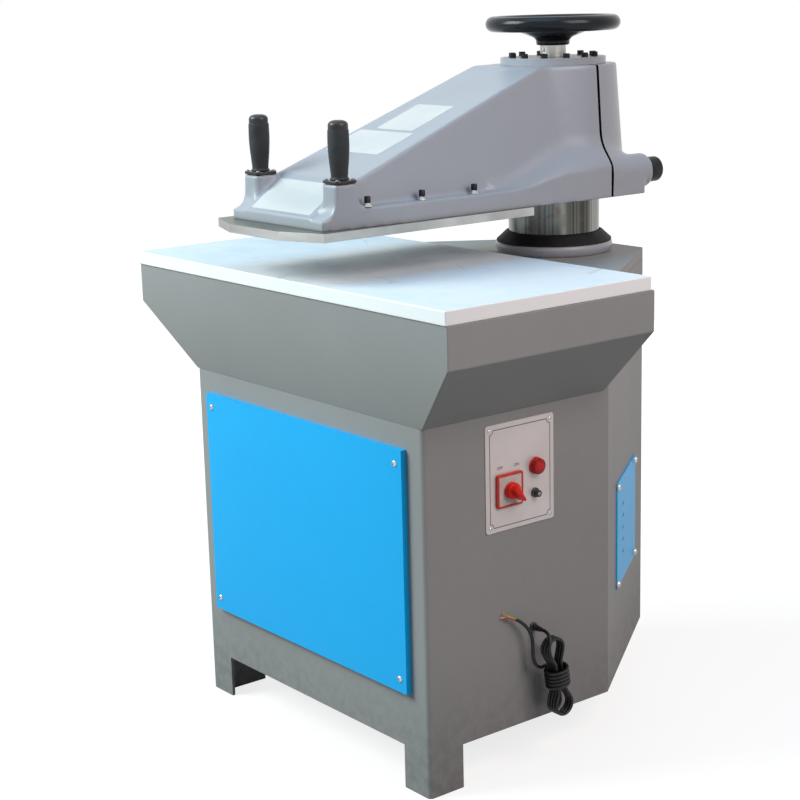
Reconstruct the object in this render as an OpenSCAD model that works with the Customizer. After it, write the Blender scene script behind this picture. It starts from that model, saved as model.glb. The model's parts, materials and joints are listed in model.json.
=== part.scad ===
// Swing-arm hydraulic cutting press on a sheet-steel cabinet.
// Origin: on the floor, on the axis of the column. +X right as the operator sees it, +Y to the back, +Z up.
// All sizes in millimetres.

/* [Table] */
// Width of the table, side to side
table_w = 900; // [860:10:1000]
// Depth of the table, front to back
table_d = 448; // [430:2:460]
// Height of the table's steel top above the floor
table_z = 826; // [800:2:880]
// Thickness of the table plate and of the deck behind it
table_t = 20; // [14:1:26]
// Height of the table's upright band
band_h = 70; // [50:2:90]
// Height of the slanting flare under the band
flare_h = 120; // [90:2:150]
// Thickness of the cutting board
board_t = 24; // [16:1:40]
// Overhang of the cutting board past the table's front edge
board_lip = 3; // [0:1:8]
// Strip of bare table left behind the cutting board
board_strip = 8; // [2:1:20]

/* [Cabinet] */
// Overhang of the table past each side of the cabinet
side_overhang = 117.5; // [90:0.5:130]
// Set-back of the cabinet's front from the table's front edge
front_setback = 42; // [30:1:60]
// Depth of the cabinet's straight sides
side_d = 416; // [412:1:430]
// Width of the back panel
back_w = 205; // [180:5:240]
// Distance of the back panel's outside behind the column's axis
back_y = 136; // [125:1:160]
// Thickness of the sheet steel
sheet_t = 6; // [4:0.5:8]
// Height of the panels' lower edge above the floor
clear_h = 78; // [60:1:100]
// Width of a leg across the front
leg_w = 66; // [56:1:80]
// Depth of a leg along the side
leg_d = 74; // [60:1:84]
// Distance of a leg's inner web from the cabinet's side
leg_web_in = 30; // [20:1:40]
// Depth of a leg's inner web
leg_web_d = 97; // [80:1:110]
// Outside radius of the bent front corners
corner_r = 8; // [7:1:18]
// Thickness of the floor plate
floor_t = 10; // [6:1:14]
// Diameter of the round rear foot
foot_d = 140; // [100:5:180]

/* [Covers and controls] */
// Distance of the front cover's side edges past its screws
cover_margin = 17; // [12:1:22]
// Height of the front cover
cover_h = 420; // [380:2:440]
// Height of the front cover's lower edge above the floor
cover_z = 177; // [150:1:190]
// How far the front cover stands proud
cover_proud = 11; // [8:1:16]
// Width of the vent cover
vent_w = 212; // [180:2:240]
// Height of the vent cover
vent_h = 200; // [180:2:220]
// Height of the vent cover's lower edge above the floor
vent_z = 242; // [200:2:300]
// Distance of the vent cover from the cabinet's side corner
vent_s = 86; // [70:1:100]
// How far the vent cover stands proud
vent_proud = 3; // [3:0.5:8]
// Wall of the folded covers
cover_wall = 2; // [1.5:0.1:3]
// Diameter of the cover screws' shanks
panel_screw_d = 6; // [5:0.5:7]
// Distance of the vent cover's screws from its edges
panel_screw_in = 8; // [7:1:20]
// Width of the control plate
ctl_w = 153; // [145:1:170]
// Height of the control plate
ctl_h = 185; // [175:1:200]
// Thickness of the control plate
ctl_t = 2; // [1:0.5:3]
// Distance of the control plate's middle in front of the column's axis
ctl_front = 395; // [380:1:410]
// Height of the control plate's middle above the floor
ctl_z = 527; // [500:1:560]
// Diameter of the control plate's screws
ctl_screw_d = 4; // [3:0.5:5]
// Side of the switch's square front
switch_w = 58; // [50:1:60]
// Thickness of the switch's square front
switch_t = 6; // [4:0.5:8]
// Diameter of the switch's shaft
switch_shaft_d = 8; // [6:0.5:10]
// Diameter of the pilot lamp's lens
lamp_d = 29; // [24:1:32]
// Diameter of the fuse holder's cap
fuse_d = 17; // [14:0.5:20]

/* [Column and ram] */
// Diameter of the column
column_d = 172; // [160:1:176]
// Distance of the table's front edge from the column's axis
column_to_front = 644; // [636:1:660]
// Wall of the hollow column
column_wall = 24; // [18:1:30]
// Wall of the guide sleeve
sleeve_wall = 18; // [12:1:22]
// Length of the guide sleeve below the table top
sleeve_len = 226; // [200:2:240]
// Diameter of the sleeve's flange on the deck
sleeve_flange_d = 222; // [216:1:236]
// Height of the sleeve's flange
sleeve_flange_h = 21; // [16:1:24]
// Height of the rubber dust skirt
skirt_h = 19; // [14:1:19]
// Working stroke of the ram
stroke = 50; // [30:1:60]
// Bore of the hydraulic cylinder
cylinder_bore = 120; // [100:2:130]
// Wall of the hydraulic cylinder
cylinder_wall = 15; // [10:1:20]
// Diameter of the piston rod
rod_d = 70; // [60:1:80]
// Thickness of the piston
piston_t = 50; // [40:1:60]

/* [Arm] */
// Gap between the cutting board and the platen at rest
die_gap = 74; // [72:1:80]
// Width of the platen
platen_w = 312; // [308:2:330]
// Thickness of the platen
platen_t = 15; // [12:1:20]
// Reach of the platen's front edge past the table's front edge
platen_reach = 41; // [30:1:50]
// Height of the arm's flange
flange_h = 33; // [28:1:38]
// Height of the arm's housing, from the flange's underside to its top
housing_h = 237; // [230:1:260]
// Diameter of the housing at its top
housing_d = 234; // [228:1:244]
// Width of the gap between the two halves of the clamp
seam_gap = 6; // [3:0.5:8]
// Travel of the arm down the column from rest
height_down = 20; // [10:1:20]
// Travel of the arm up the column from rest
height_up = 30; // [20:1:40]
// Diameter of the clamp bolts
clamp_bolt_d = 30; // [24:1:32]
// Diameter of the top cap
cap_d = 196; // [190:1:206]
// Thickness of the top cap
cap_t = 13; // [10:1:18]
// Diameter of the cap screws
cap_screw_d = 8; // [6:1:10]
// Number of cap screws
cap_screw_n = 12; // [6:2:14]
// Diameter of the platen bolts
platen_bolt_d = 6; // [5:0.5:8]
// Distance between the platen bolts along the arm
platen_bolt_step = 116; // [100:1:120]

/* [Handwheel and grips] */
// Diameter of the height spindle
spindle_d = 40; // [34:1:42]
// Outside diameter of the handwheel
wheel_d = 250; // [220:2:280]
// Thickness of the handwheel's rim
rim_d = 28; // [24:1:32]
// Diameter of the handwheel's hub
hub_d = 62; // [58:1:70]
// Diameter of the lock collar
collar_d = 48; // [47:0.5:54]
// Height of the lock collar
collar_h = 21; // [15:1:26]
// Distance between the two grips
grip_span = 230; // [224:1:234]
// Length of a grip, without its button
grip_h = 78; // [70:1:100]
// Diameter of a grip at its top
grip_d = 38; // [34:0.5:42]
// Side of a grip's square base plate
grip_plate_w = 44; // [42:1:46]
// Thickness of a grip's base plate
grip_plate_t = 5; // [4:0.5:8]
// Travel of a grip's push button
button_travel = 4; // [3:0.5:5]
// Height of a push button's head
button_h = 15; // [12:0.5:20]

/* [Power unit] */
// Depth of the oil tank
tank_d = 250; // [200:5:260]
// Height of the oil tank
tank_h = 300; // [250:5:320]
// Diameter of the motor
motor_d = 160; // [140:2:170]
// Length of the motor
motor_l = 190; // [160:2:200]
// Diameter of the pump
pump_d = 90; // [70:2:110]
// Length of the pump
pump_l = 80; // [60:2:90]
// Diameter of the drive shaft
shaft_d = 24; // [18:1:28]
// Outside diameter of the oil pipes
pipe_d = 16; // [12:1:20]

/* [Power cord] */
// Diameter of the cord's sheath
cord_d = 6; // [6:0.1:6.2]
// Diameter of the cable gland
gland_d = 16; // [14:1:18]

/* [Hidden] */
$fn = 96;

// Clearances
fit = 0.05;        // radial clearance of a running or clearance fit
seat_gap = 0.2;    // gap between flat faces that move on each other
free_gap = 0.3;    // gap between curved faces that move past each other

// Colours
cabinet_grey = [0.55, 0.57, 0.58];
arm_grey = [0.62, 0.66, 0.71];
cover_blue = [0.16, 0.62, 0.92];
board_white = [0.9, 0.94, 0.96];
bright_steel = [0.75, 0.75, 0.73];
black_rubber = [0.08, 0.08, 0.09];
plate_silver = [0.82, 0.81, 0.8];
switch_red = [0.8, 0.12, 0.1];
bronze = [0.7, 0.5, 0.25];
tank_grey = [0.4, 0.42, 0.45];

// Plan of the cabinet and table
y_table = -column_to_front;
y_table_back = y_table + table_d;
x_table = table_w/2;
x_body = x_table - side_overhang;
y_body = y_table + front_setback;
y_side_back = y_body + side_d;
x_back = back_w/2;
x_post = x_body - leg_w;
wing_a = [x_body, y_side_back];
wing_b = [x_back, back_y];
wing_len = norm(wing_b - wing_a);
wing_turn = atan2(wing_b.y - wing_a.y, wing_b.x - wing_a.x);

// Heights
panel_top = table_z - table_t;
z_floor = clear_h + floor_t;
z_flare = table_z - band_h - flare_h;
board_top = table_z + board_t;
platen_z = board_top + die_gap;
flange_z = platen_z + platen_t;
ledge_z = flange_z + flange_h;
arm_top = flange_z + housing_h;
cap_top = arm_top + cap_t;

// Unit vector, and its left-hand normal in plan
function unit(v) = v/norm(v);
function left_of(v) = [-v.y, v.x];
// Inner corner of a sheet that turns at b, on its way from a to c, with the inside on its left
function inner_corner(a, b, c, t) =
    let (n1 = left_of(unit(b - a)), n2 = left_of(unit(c - b)), m = n1 + n2)
    b + m*t/(1 + n1*n2);

wing_a_in = inner_corner([x_body, y_body], wing_a, wing_b, sheet_t);
wing_b_in = inner_corner(wing_a, wing_b, [-x_back, back_y], sheet_t);

// Mirrors its children to the left for a side of -1
module on_side(side) { mirror([side < 0 ? 1 : 0, 0, 0]) children(); }
// Turns a plan drawn in (y, z) into a slab across X, centred
module across(width) { rotate([90, 0, 90]) translate([0, 0, -width/2]) linear_extrude(width) children(); }
// Cylinder along +X, starting at the origin
module rod_x(d, l) { rotate([0, 90, 0]) cylinder(d = d, h = l); }
// Cylinder along +Y, starting at the origin
module rod_y(d, l) { rotate([-90, 0, 0]) cylinder(d = d, h = l); }
// Plain ring
module ring(d_out, d_in, h) {
    difference() {
        cylinder(d = d_out, h = h);
        translate([0, 0, -1]) cylinder(d = d_in, h = h + 2);
    }
}
// Square with round corners, drawn with true arcs
module round_square(w, h, r) {
    square([w - 2*r, h], center = true);
    square([w, h - 2*r], center = true);
    for (sx = [-1, 1], sy = [-1, 1]) translate([sx*(w/2 - r), sy*(h/2 - r)]) circle(r);
}
// Socket-head screw standing on z = 0, shank down
module socket_screw(d, shank_l) {
    head_d = 1.55*d;
    head_h = d;
    difference() {
        cylinder(d = head_d, h = head_h);
        translate([0, 0, 0.5*head_h]) cylinder(d = 0.9*d, h = head_h, $fn = 6);
    }
    translate([0, 0, -shank_l]) cylinder(d = d, h = shank_l);
}

// Cabinet

screw_to_post_edge = 6.5;
cover_x = x_post + screw_to_post_edge;
cover_w = 2*(cover_x + cover_margin);
cover_screw_in = 24;
cover_screw_z = [cover_z + cover_screw_in, cover_z + cover_h - cover_screw_in];
access_rim = 32;
panel_shank = 14;

module front_panel() {
    open_w = 2*(x_post - access_rim);
    open_z = cover_z + access_rim;
    open_h = cover_h - 2*access_rim;
    color(cabinet_grey) difference() {
        translate([-x_post, y_body, clear_h]) cube([2*x_post, sheet_t, panel_top - clear_h]);
        translate([-open_w/2, y_body - 1, open_z]) cube([open_w, sheet_t + 2, open_h]);
    }
}

module leg_post(side) {
    color(cabinet_grey) on_side(side) difference() {
        union() {
            translate([x_body - leg_web_in - sheet_t, y_body, 0]) cube([sheet_t, leg_web_d, clear_h]);
            linear_extrude(panel_top) {
                translate([x_post, y_body]) square([leg_w - corner_r, sheet_t]);
                translate([x_body - sheet_t, y_body + corner_r]) square([sheet_t, leg_d - corner_r]);
                intersection() {
                    translate([x_body - corner_r, y_body + corner_r]) difference() {
                        circle(corner_r);
                        circle(corner_r - sheet_t);
                    }
                    translate([x_body - corner_r, y_body]) square(corner_r);
                }
            }
        }
        for (z = cover_screw_z) translate([cover_x, y_body - 1, z])
            rod_y(panel_screw_d + 2*fit, sheet_t + 2);
    }
}

module side_sheet() {
    linear_extrude(panel_top - clear_h) polygon([
        [x_body, y_body + leg_d], wing_a, wing_a_in, [x_body - sheet_t, y_body + leg_d]]);
}

ctl_screw_in = 9;
ctl_screws = [for (sy = [-1, 1], sz = [-1, 1])
    [-ctl_front + sy*(ctl_w/2 - ctl_screw_in), ctl_z + sz*(ctl_h/2 - ctl_screw_in)]];
ctl_shank = 10;

module side_panel_left() {
    color(cabinet_grey) on_side(-1) translate([0, 0, clear_h]) side_sheet();
}

module side_panel_right() {
    color(cabinet_grey) difference() {
        translate([0, 0, clear_h]) side_sheet();
        translate([x_body - sheet_t - 1, switch_y - switch_hole/2, switch_z - switch_hole/2])
            cube([sheet_t + 2, switch_hole, switch_hole]);
        translate([x_body - sheet_t - 1, lamp_y, lamp_z]) rod_x(lamp_neck_d + 2*fit, sheet_t + 2);
        translate([x_body - sheet_t - 1, fuse_y, fuse_z]) rod_x(fuse_neck_d + 2*fit, sheet_t + 2);
        for (p = ctl_screws) translate([x_body - sheet_t - 1, p.x, p.y])
            rod_x(ctl_screw_d + 2*fit, sheet_t + 2);
        translate([x_body - sheet_t - 1, gland_y, gland_z]) rod_x(gland_neck_d + 2*fit, sheet_t + 2);
    }
}

// Places its children on the right wing: x along the wing, -y outwards, z up
module on_wing() { translate(wing_a) rotate([0, 0, wing_turn]) children(); }

vent_rim = 46;
vent_screws = [for (s = [vent_s + panel_screw_in, vent_s + vent_w - panel_screw_in],
                    z = [vent_z + panel_screw_in, vent_z + vent_h - panel_screw_in]) [s, z]];

module wing_sheet() {
    linear_extrude(panel_top - clear_h) polygon([wing_a, wing_b, wing_b_in, wing_a_in]);
}

module wing_panel_left() {
    color(cabinet_grey) on_side(-1) translate([0, 0, clear_h]) wing_sheet();
}

module wing_panel_right() {
    color(cabinet_grey) difference() {
        translate([0, 0, clear_h]) wing_sheet();
        on_wing() {
            translate([vent_s + vent_rim, -1, vent_z + vent_rim])
                cube([vent_w - 2*vent_rim, sheet_t + 2, vent_h - 2*vent_rim]);
            for (p = vent_screws) translate([p.x, -1, p.y]) rod_y(panel_screw_d + 2*fit, sheet_t + 2);
        }
    }
}

module rear_panel() {
    color(cabinet_grey) translate([0, 0, clear_h]) linear_extrude(panel_top - clear_h) polygon([
        wing_b, [-wing_b.x, wing_b.y], [-wing_b_in.x, wing_b_in.y], wing_b_in]);
}

module floor_plate() {
    right = [[x_body - sheet_t, y_body + sheet_t + corner_r], wing_a_in, wing_b_in];
    left = [for (i = [2:-1:0]) [-right[i].x, right[i].y]];
    x_front = x_body - sheet_t - corner_r;
    front = [[-x_front, y_body + sheet_t], [x_front, y_body + sheet_t]];
    color(cabinet_grey) translate([0, 0, clear_h]) linear_extrude(floor_t)
        polygon(concat(right, left, front));
}

module rear_foot() { color(cabinet_grey) cylinder(d = foot_d, h = clear_h); }

// Table

// Bent section of the skirt: u inwards from the table's edge, v up from the flare's lower end
module skirt_section(inset) {
    slant = norm([inset, flare_h]);
    inner_z = function (u) flare_h + (sheet_t*slant - flare_h*u)/inset;
    polygon([[0, flare_h + band_h], [0, flare_h], [inset, 0], [inset, inner_z(inset)],
             [sheet_t, inner_z(sheet_t)], [sheet_t, flare_h + band_h]]);
}

module skirt_front() {
    color(cabinet_grey) intersection() {
        translate([0, y_table, z_flare]) across(table_w) skirt_section(front_setback);
        translate([0, 0, z_flare - 1]) linear_extrude(band_h + flare_h + 2) polygon([
            [-x_table, y_table], [x_table, y_table], [x_body, y_body], [-x_body, y_body]]);
    }
}

module skirt_side() {
    intersection() {
        translate([x_table, y_table_back, z_flare]) rotate([90, 0, 0]) mirror([1, 0, 0])
            linear_extrude(table_d) skirt_section(side_overhang);
        translate([0, 0, z_flare - 1]) linear_extrude(band_h + flare_h + 2) polygon([
            [x_table, y_table], [x_table, y_table_back], [x_body, y_table_back], [x_body, y_body]]);
    }
    translate([x_body, y_table_back, z_flare]) rotate([90, 0, 0]) linear_extrude(sheet_t) polygon([
        [0, 0], [side_overhang, flare_h], [side_overhang, flare_h + band_h], [0, flare_h + band_h]]);
}

module skirt_left() { color(cabinet_grey) on_side(-1) skirt_side(); }
module skirt_right() { color(cabinet_grey) skirt_side(); }

module table_plate() {
    color(cabinet_grey) translate([-x_table + sheet_t, y_table + sheet_t, panel_top])
        cube([table_w - 2*sheet_t, table_d - 2*sheet_t, table_t]);
}

module deck_plate() {
    right = [[x_body, y_body], wing_a, wing_b];
    left = [for (i = [2:-1:0]) [-right[i].x, right[i].y]];
    color(cabinet_grey) difference() {
        translate([0, 0, panel_top]) linear_extrude(table_t) polygon(concat(right, left));
        translate([-x_table, y_table, panel_top - 1]) cube([table_w, table_d - sheet_t, table_t + 2]);
        translate([0, 0, panel_top - 1]) cylinder(d = sleeve_d + 2*fit, h = table_t + 2);
    }
}

module cutting_board() {
    color(board_white) translate([-x_table, y_table - board_lip, table_z])
        cube([table_w, table_d + board_lip - board_strip, board_t]);
}

// Covers

module pan(w, depth, h) {
    difference() {
        cube([w, depth, h]);
        translate([cover_wall, cover_wall, cover_wall]) cube([w - 2*cover_wall, depth, h - 2*cover_wall]);
    }
}

module front_cover() {
    color(cover_blue) difference() {
        translate([-cover_w/2, y_body - cover_proud, cover_z]) pan(cover_w, cover_proud, cover_h);
        for (sx = [-1, 1], z = cover_screw_z) translate([sx*cover_x, y_body - cover_proud - 1, z])
            rod_y(panel_screw_d + 2*fit, cover_proud + 2);
    }
}

module vent_cover() {
    slot_w = 22;
    slot_h = 3;
    slot_n = 5;
    slot_step = 23;
    slot_s = vent_s + 0.31*vent_w - slot_w/2;
    slot_z = vent_z + vent_h/2 - slot_h/2;
    color(cover_blue) on_wing() difference() {
        translate([vent_s, -vent_proud, vent_z]) pan(vent_w, vent_proud, vent_h);
        for (p = vent_screws) translate([p.x, -vent_proud - 1, p.y])
            rod_y(panel_screw_d + 2*fit, vent_proud + 2);
        for (i = [0:slot_n - 1])
            translate([slot_s, -vent_proud - 1, slot_z + (i - (slot_n - 1)/2)*slot_step])
                cube([slot_w, cover_wall + 2, slot_h]);
    }
}

// Round-headed screw along +Y, head in front of y = 0
module panel_screw(d, shank_l, head_h) {
    translate([0, -head_h, 0]) rod_y(1.9*d, head_h);
    rod_y(d, shank_l);
}

module panel_screws() {
    color(bright_steel) {
        for (sx = [-1, 1], z = cover_screw_z) translate([sx*cover_x, y_body - cover_proud, z])
            panel_screw(panel_screw_d, cover_proud + panel_shank, 0.6*panel_screw_d);
        on_wing() for (p = vent_screws) translate([p.x, -vent_proud, p.y])
            panel_screw(panel_screw_d, vent_proud + panel_shank, 1.3*panel_screw_d);
        for (p = ctl_screws) translate([x_body + ctl_t, p.x, p.y]) rotate([0, 0, 90])
            panel_screw(ctl_screw_d, ctl_t + ctl_shank, 0.6*ctl_screw_d);
    }
}

// Controls, on the right side panel

switch_y = -ctl_front - 26;
switch_z = ctl_z - 23;
lamp_y = -ctl_front + 35;
lamp_z = ctl_z + 7;
fuse_y = lamp_y - 2;
fuse_z = lamp_z - 47;
switch_neck_d = 20;
switch_case_w = 40;
switch_hole = switch_case_w + 1;
lamp_neck_d = 22;
fuse_neck_d = 12;
x_plate = x_body + ctl_t;

module control_plate() {
    color(plate_silver) difference() {
        translate([x_body, -ctl_front, ctl_z]) rotate([90, 0, 90])
            linear_extrude(ctl_t) round_square(ctl_w, ctl_h, 5);
        for (p = ctl_screws) translate([x_body - 1, p.x, p.y]) rod_x(ctl_screw_d + 2*fit, ctl_t + 2);
        translate([x_body - 1, switch_y, switch_z]) rod_x(switch_neck_d + 2*fit, ctl_t + 2);
        translate([x_body - 1, lamp_y, lamp_z]) rod_x(lamp_neck_d + 2*fit, ctl_t + 2);
        translate([x_body - 1, fuse_y, fuse_z]) rod_x(fuse_neck_d + 2*fit, ctl_t + 2);
    }
}

switch_shaft_l = 16;

module switch_body() {
    case_w = switch_case_w;
    case_l = 50;
    color(switch_red) difference() {
        union() {
            translate([x_plate, switch_y, switch_z]) rotate([90, 0, 90])
                linear_extrude(switch_t) round_square(switch_w, switch_w, 5);
            translate([x_body, switch_y, switch_z]) rod_x(switch_neck_d, ctl_t);
            translate([x_body - case_l, switch_y - case_w/2, switch_z - case_w/2])
                cube([case_l, case_w, case_w]);
        }
        translate([x_plate + switch_t - switch_shaft_l, switch_y, switch_z])
            rod_x(switch_shaft_d + 2*fit, switch_shaft_l + 1);
    }
}

module switch_knob() {
    knob_d = 28;
    knob_h = 12;
    pointer_l = 23;
    pointer_w = 13;
    pointer_h = 12;
    rest_turn = -140;
    x_knob = x_plate + switch_t + seat_gap;
    color(switch_red) translate([x_knob, switch_y, switch_z]) rotate([rest_turn, 0, 0]) {
        rod_x(knob_d, knob_h);
        rotate([90, 0, 90]) linear_extrude(knob_h + pointer_h) polygon([
            [-pointer_w/2, -knob_d/2.2], [pointer_w/2, -knob_d/2.2],
            [pointer_w/6, pointer_l], [-pointer_w/6, pointer_l]]);
        translate([-switch_shaft_l + 2, 0, 0]) rod_x(switch_shaft_d, switch_shaft_l);
    }
}

module pilot_lamp() {
    lens_h = 13;
    case_l = 42;
    color(switch_red) translate([x_plate, lamp_y, lamp_z]) rotate([0, 90, 0]) rotate_extrude() polygon([
        [0, -ctl_t - case_l], [lamp_neck_d/2, -ctl_t - case_l], [lamp_neck_d/2, 0], [lamp_d/2, 0],
        [lamp_d/2, lens_h - 3], [lamp_d/2 - 3, lens_h], [0, lens_h]]);
}

module fuse_holder() {
    cap_h = 12;
    case_l = 38;
    color(black_rubber) translate([x_plate, fuse_y, fuse_z]) rotate([0, 90, 0]) rotate_extrude() polygon([
        [0, -ctl_t - case_l], [fuse_neck_d/2, -ctl_t - case_l], [fuse_neck_d/2, 0], [fuse_d/2, 0],
        [fuse_d/2, 3], [fuse_d/2 - 2, 4], [fuse_d/2 - 2.5, cap_h], [0, cap_h]]);
}

// Guide, column and ram

sleeve_d = column_d + 2*fit + 2*sleeve_wall;
z_sleeve = table_z - sleeve_len;
flange_top = table_z + sleeve_flange_h;

module guide_sleeve() {
    color(arm_grey) difference() {
        union() {
            translate([0, 0, z_sleeve]) cylinder(d = sleeve_d, h = sleeve_len);
            translate([0, 0, table_z]) cylinder(d = sleeve_flange_d, h = sleeve_flange_h);
        }
        translate([0, 0, z_sleeve - 1])
            cylinder(d = column_d + 2*fit, h = sleeve_len + sleeve_flange_h + 2);
    }
}

module dust_skirt() {
    lip_r = column_d/2 + free_gap;
    foot_r = sleeve_flange_d/2 - 2;
    wall = 5;
    foot_h = 2;
    color(black_rubber) translate([0, 0, flange_top]) rotate_extrude() polygon([
        [foot_r - 2*wall, 0], [foot_r, 0], [foot_r, foot_h], [lip_r + wall, skirt_h], [lip_r, skirt_h],
        [lip_r, skirt_h - wall], [foot_r - 2*wall, foot_h]]);
}

column_tail = 43;
web_t = 40;
spigot_d = 60;
bearing_t = 12;
rod_collar_t = 15;
rod_collar_d = 140;
head_t = 30;
head_margin = 10;
lip_t = 22;
lip_d = 124;
shoulder_d = 64;
shoulder_t = 14;
head_room = 2;
z_column = z_sleeve - column_tail;
column_top = arm_top - lip_t - height_down - head_room;
column_bore = column_d - 2*column_wall;
z_bearing = z_column - seat_gap - bearing_t;
z_rod_collar = z_bearing - rod_collar_t;
z_head = z_rod_collar - stroke - head_margin - head_t;
barrel_d = cylinder_bore + 2*fit + 2*cylinder_wall;
barrel_floor = 20;
piston_top = z_head - 50;
port_z = [z_floor + barrel_floor + 30, z_head - 25];
port_d = 40;
port_reach = barrel_d/2 + 12;

module cylinder_barrel() {
    color(tank_grey) difference() {
        union() {
            translate([0, 0, z_floor]) cylinder(d = barrel_d, h = z_head - z_floor);
            for (z = port_z) translate([-port_reach, 0, z]) rod_x(port_d, port_reach);
        }
        translate([0, 0, z_floor + barrel_floor]) cylinder(d = cylinder_bore + 2*fit, h = z_head - z_floor);
        for (z = port_z) translate([-port_reach - 1, 0, z]) rod_x(pipe_d - 4, port_reach);
    }
}

module cylinder_head() {
    color(tank_grey) translate([0, 0, z_head]) ring(barrel_d, rod_d + 2*fit, head_t);
}

nut_t = 28;

module piston_rod() {
    color(bright_steel) {
        translate([0, 0, piston_top - piston_t]) cylinder(d = cylinder_bore, h = piston_t);
        translate([0, 0, piston_top]) cylinder(d = rod_d, h = z_rod_collar - piston_top);
        translate([0, 0, z_rod_collar]) cylinder(d = rod_collar_d, h = rod_collar_t);
        translate([0, 0, z_bearing]) cylinder(d = spigot_d, h = bearing_t + web_t + 2*seat_gap + nut_t + 5);
    }
}

module thrust_bearing() {
    color(bright_steel) translate([0, 0, z_bearing]) ring(rod_collar_d, spigot_d + 2*fit, bearing_t);
}

module rod_nut() {
    color(bright_steel) translate([0, 0, z_column + web_t + seat_gap]) difference() {
        cylinder(d = column_bore - 12, h = nut_t, $fn = 6);
        translate([0, 0, -1]) cylinder(d = spigot_d + 2*fit, h = nut_t + 2);
    }
}

module column() {
    color(bright_steel) translate([0, 0, z_column]) difference() {
        cylinder(d = column_d, h = column_top - z_column);
        translate([0, 0, web_t]) cylinder(d = column_bore, h = column_top - z_column);
        translate([0, 0, -1]) cylinder(d = spigot_d + 2*fit, h = web_t + 2);
    }
}

spindle_nut_h = 50;

module spindle_nut() {
    color(bronze) translate([0, 0, column_top - spindle_nut_h])
        ring(column_bore - 2*fit, spindle_d + 2*fit, spindle_nut_h);
}

// Arm

nose_y = y_table + 6;
nose_hw = 132;
flange_hw = 147;
clamp_hw = 157;
slope_front_y = y_table + 90;
slope_front_z = ledge_z + 41;
slope_front_hw = 113;
slope_back_y = -121;
slope_back_hw = 90;
foot_front_y = nose_y + 40;
foot_hw = 128;
lug_d = 64;
lug_x = 125;
lug_z = flange_z + 38;
lug_front = -72;
lug_back = 112;
lug_tail_y = -200;
lug_tail_d = 20;
lug_tail_x = lug_x + 12;
housing_taper = 28;
nose_z = flange_z + 16;
bolt_y0 = slope_front_y + 6;
bolt_x = foot_hw + 8;
platen_bolts_xy = [for (sx = [-1, 1], i = [0:2]) [sx*bolt_x, bolt_y0 + i*platen_bolt_step]];
grip_y = y_table + 56;
grip_z = slope_front_z;
clamp_grip = 60;

// Sloping body of the arm, from its foot on the flange to its top edges
module arm_web(inset, z0) {
    hf = foot_hw - inset;
    hb = foot_hw + 5 - inset;
    ht = slope_front_hw - inset;
    hr = slope_back_hw - inset;
    y0 = foot_front_y + inset;
    y1 = slope_front_y + inset;
    y2 = -40 - 2*inset;
    z1 = slope_front_z - inset;
    z2 = arm_top - inset;
    pts = [[-hf, y0, z0], [hf, y0, z0], [hb, y2, z0], [-hb, y2, z0], [-ht, y1, z1], [ht, y1, z1],
           [hr, slope_back_y, z2], [-hr, slope_back_y, z2], [hr, y2, z2], [-hr, y2, z2]];
    polyhedron(pts, [[0, 1, 2, 3], [0, 4, 5, 1], [4, 7, 6, 5], [7, 9, 8, 6], [3, 2, 8, 9],
                     [1, 5, 6], [1, 6, 2], [2, 6, 8], [0, 3, 7], [0, 7, 4], [3, 9, 7]]);
}

// Round housing about the column
module housing() {
    translate([0, 0, flange_z]) cylinder(d1 = housing_d + housing_taper, d2 = housing_d, h = housing_h);
}

module column_bore_cut() {
    translate([0, 0, flange_z - 1]) cylinder(d = column_d + 2*fit, h = housing_h - lip_t + 1);
    translate([0, 0, arm_top - lip_t - 1]) cylinder(d = lip_d, h = lip_t + 2);
}

module cap_screw_places() {
    for (i = [0:cap_screw_n - 1]) rotate(cap_screw_turn + i*360/cap_screw_n)
        translate([cap_screw_r, 0, arm_top]) children();
}

cap_screw_r = 78;
cap_screw_turn = 5;
cap_shank = 20;

module cap_screw_holes() {
    cap_screw_places() translate([0, 0, -cap_shank - 1])
        cylinder(d = cap_screw_d + 2*fit, h = cap_shank + 2);
}

// Tapered boss under a grip
module grip_boss() {
    boss_w = grip_plate_w + 2;
    spread = 1.15;
    translate([grip_span/2, grip_y, grip_z]) mirror([0, 0, 1])
        linear_extrude(grip_z - flange_z - 4, scale = spread) round_square(boss_w, boss_w, 10, $fn = 32);
}

// Half of the arm's flange, seen from above, right side
module flange_plan(back) {
    polygon([[-nose_hw, nose_y], [nose_hw, nose_y], [flange_hw, nose_y + 160], [flange_hw, lug_tail_y],
             [clamp_hw, lug_front], [clamp_hw, back], [-clamp_hw, back], [-clamp_hw, lug_front],
             [-flange_hw, lug_tail_y], [-flange_hw, nose_y + 160]]);
}

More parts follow.
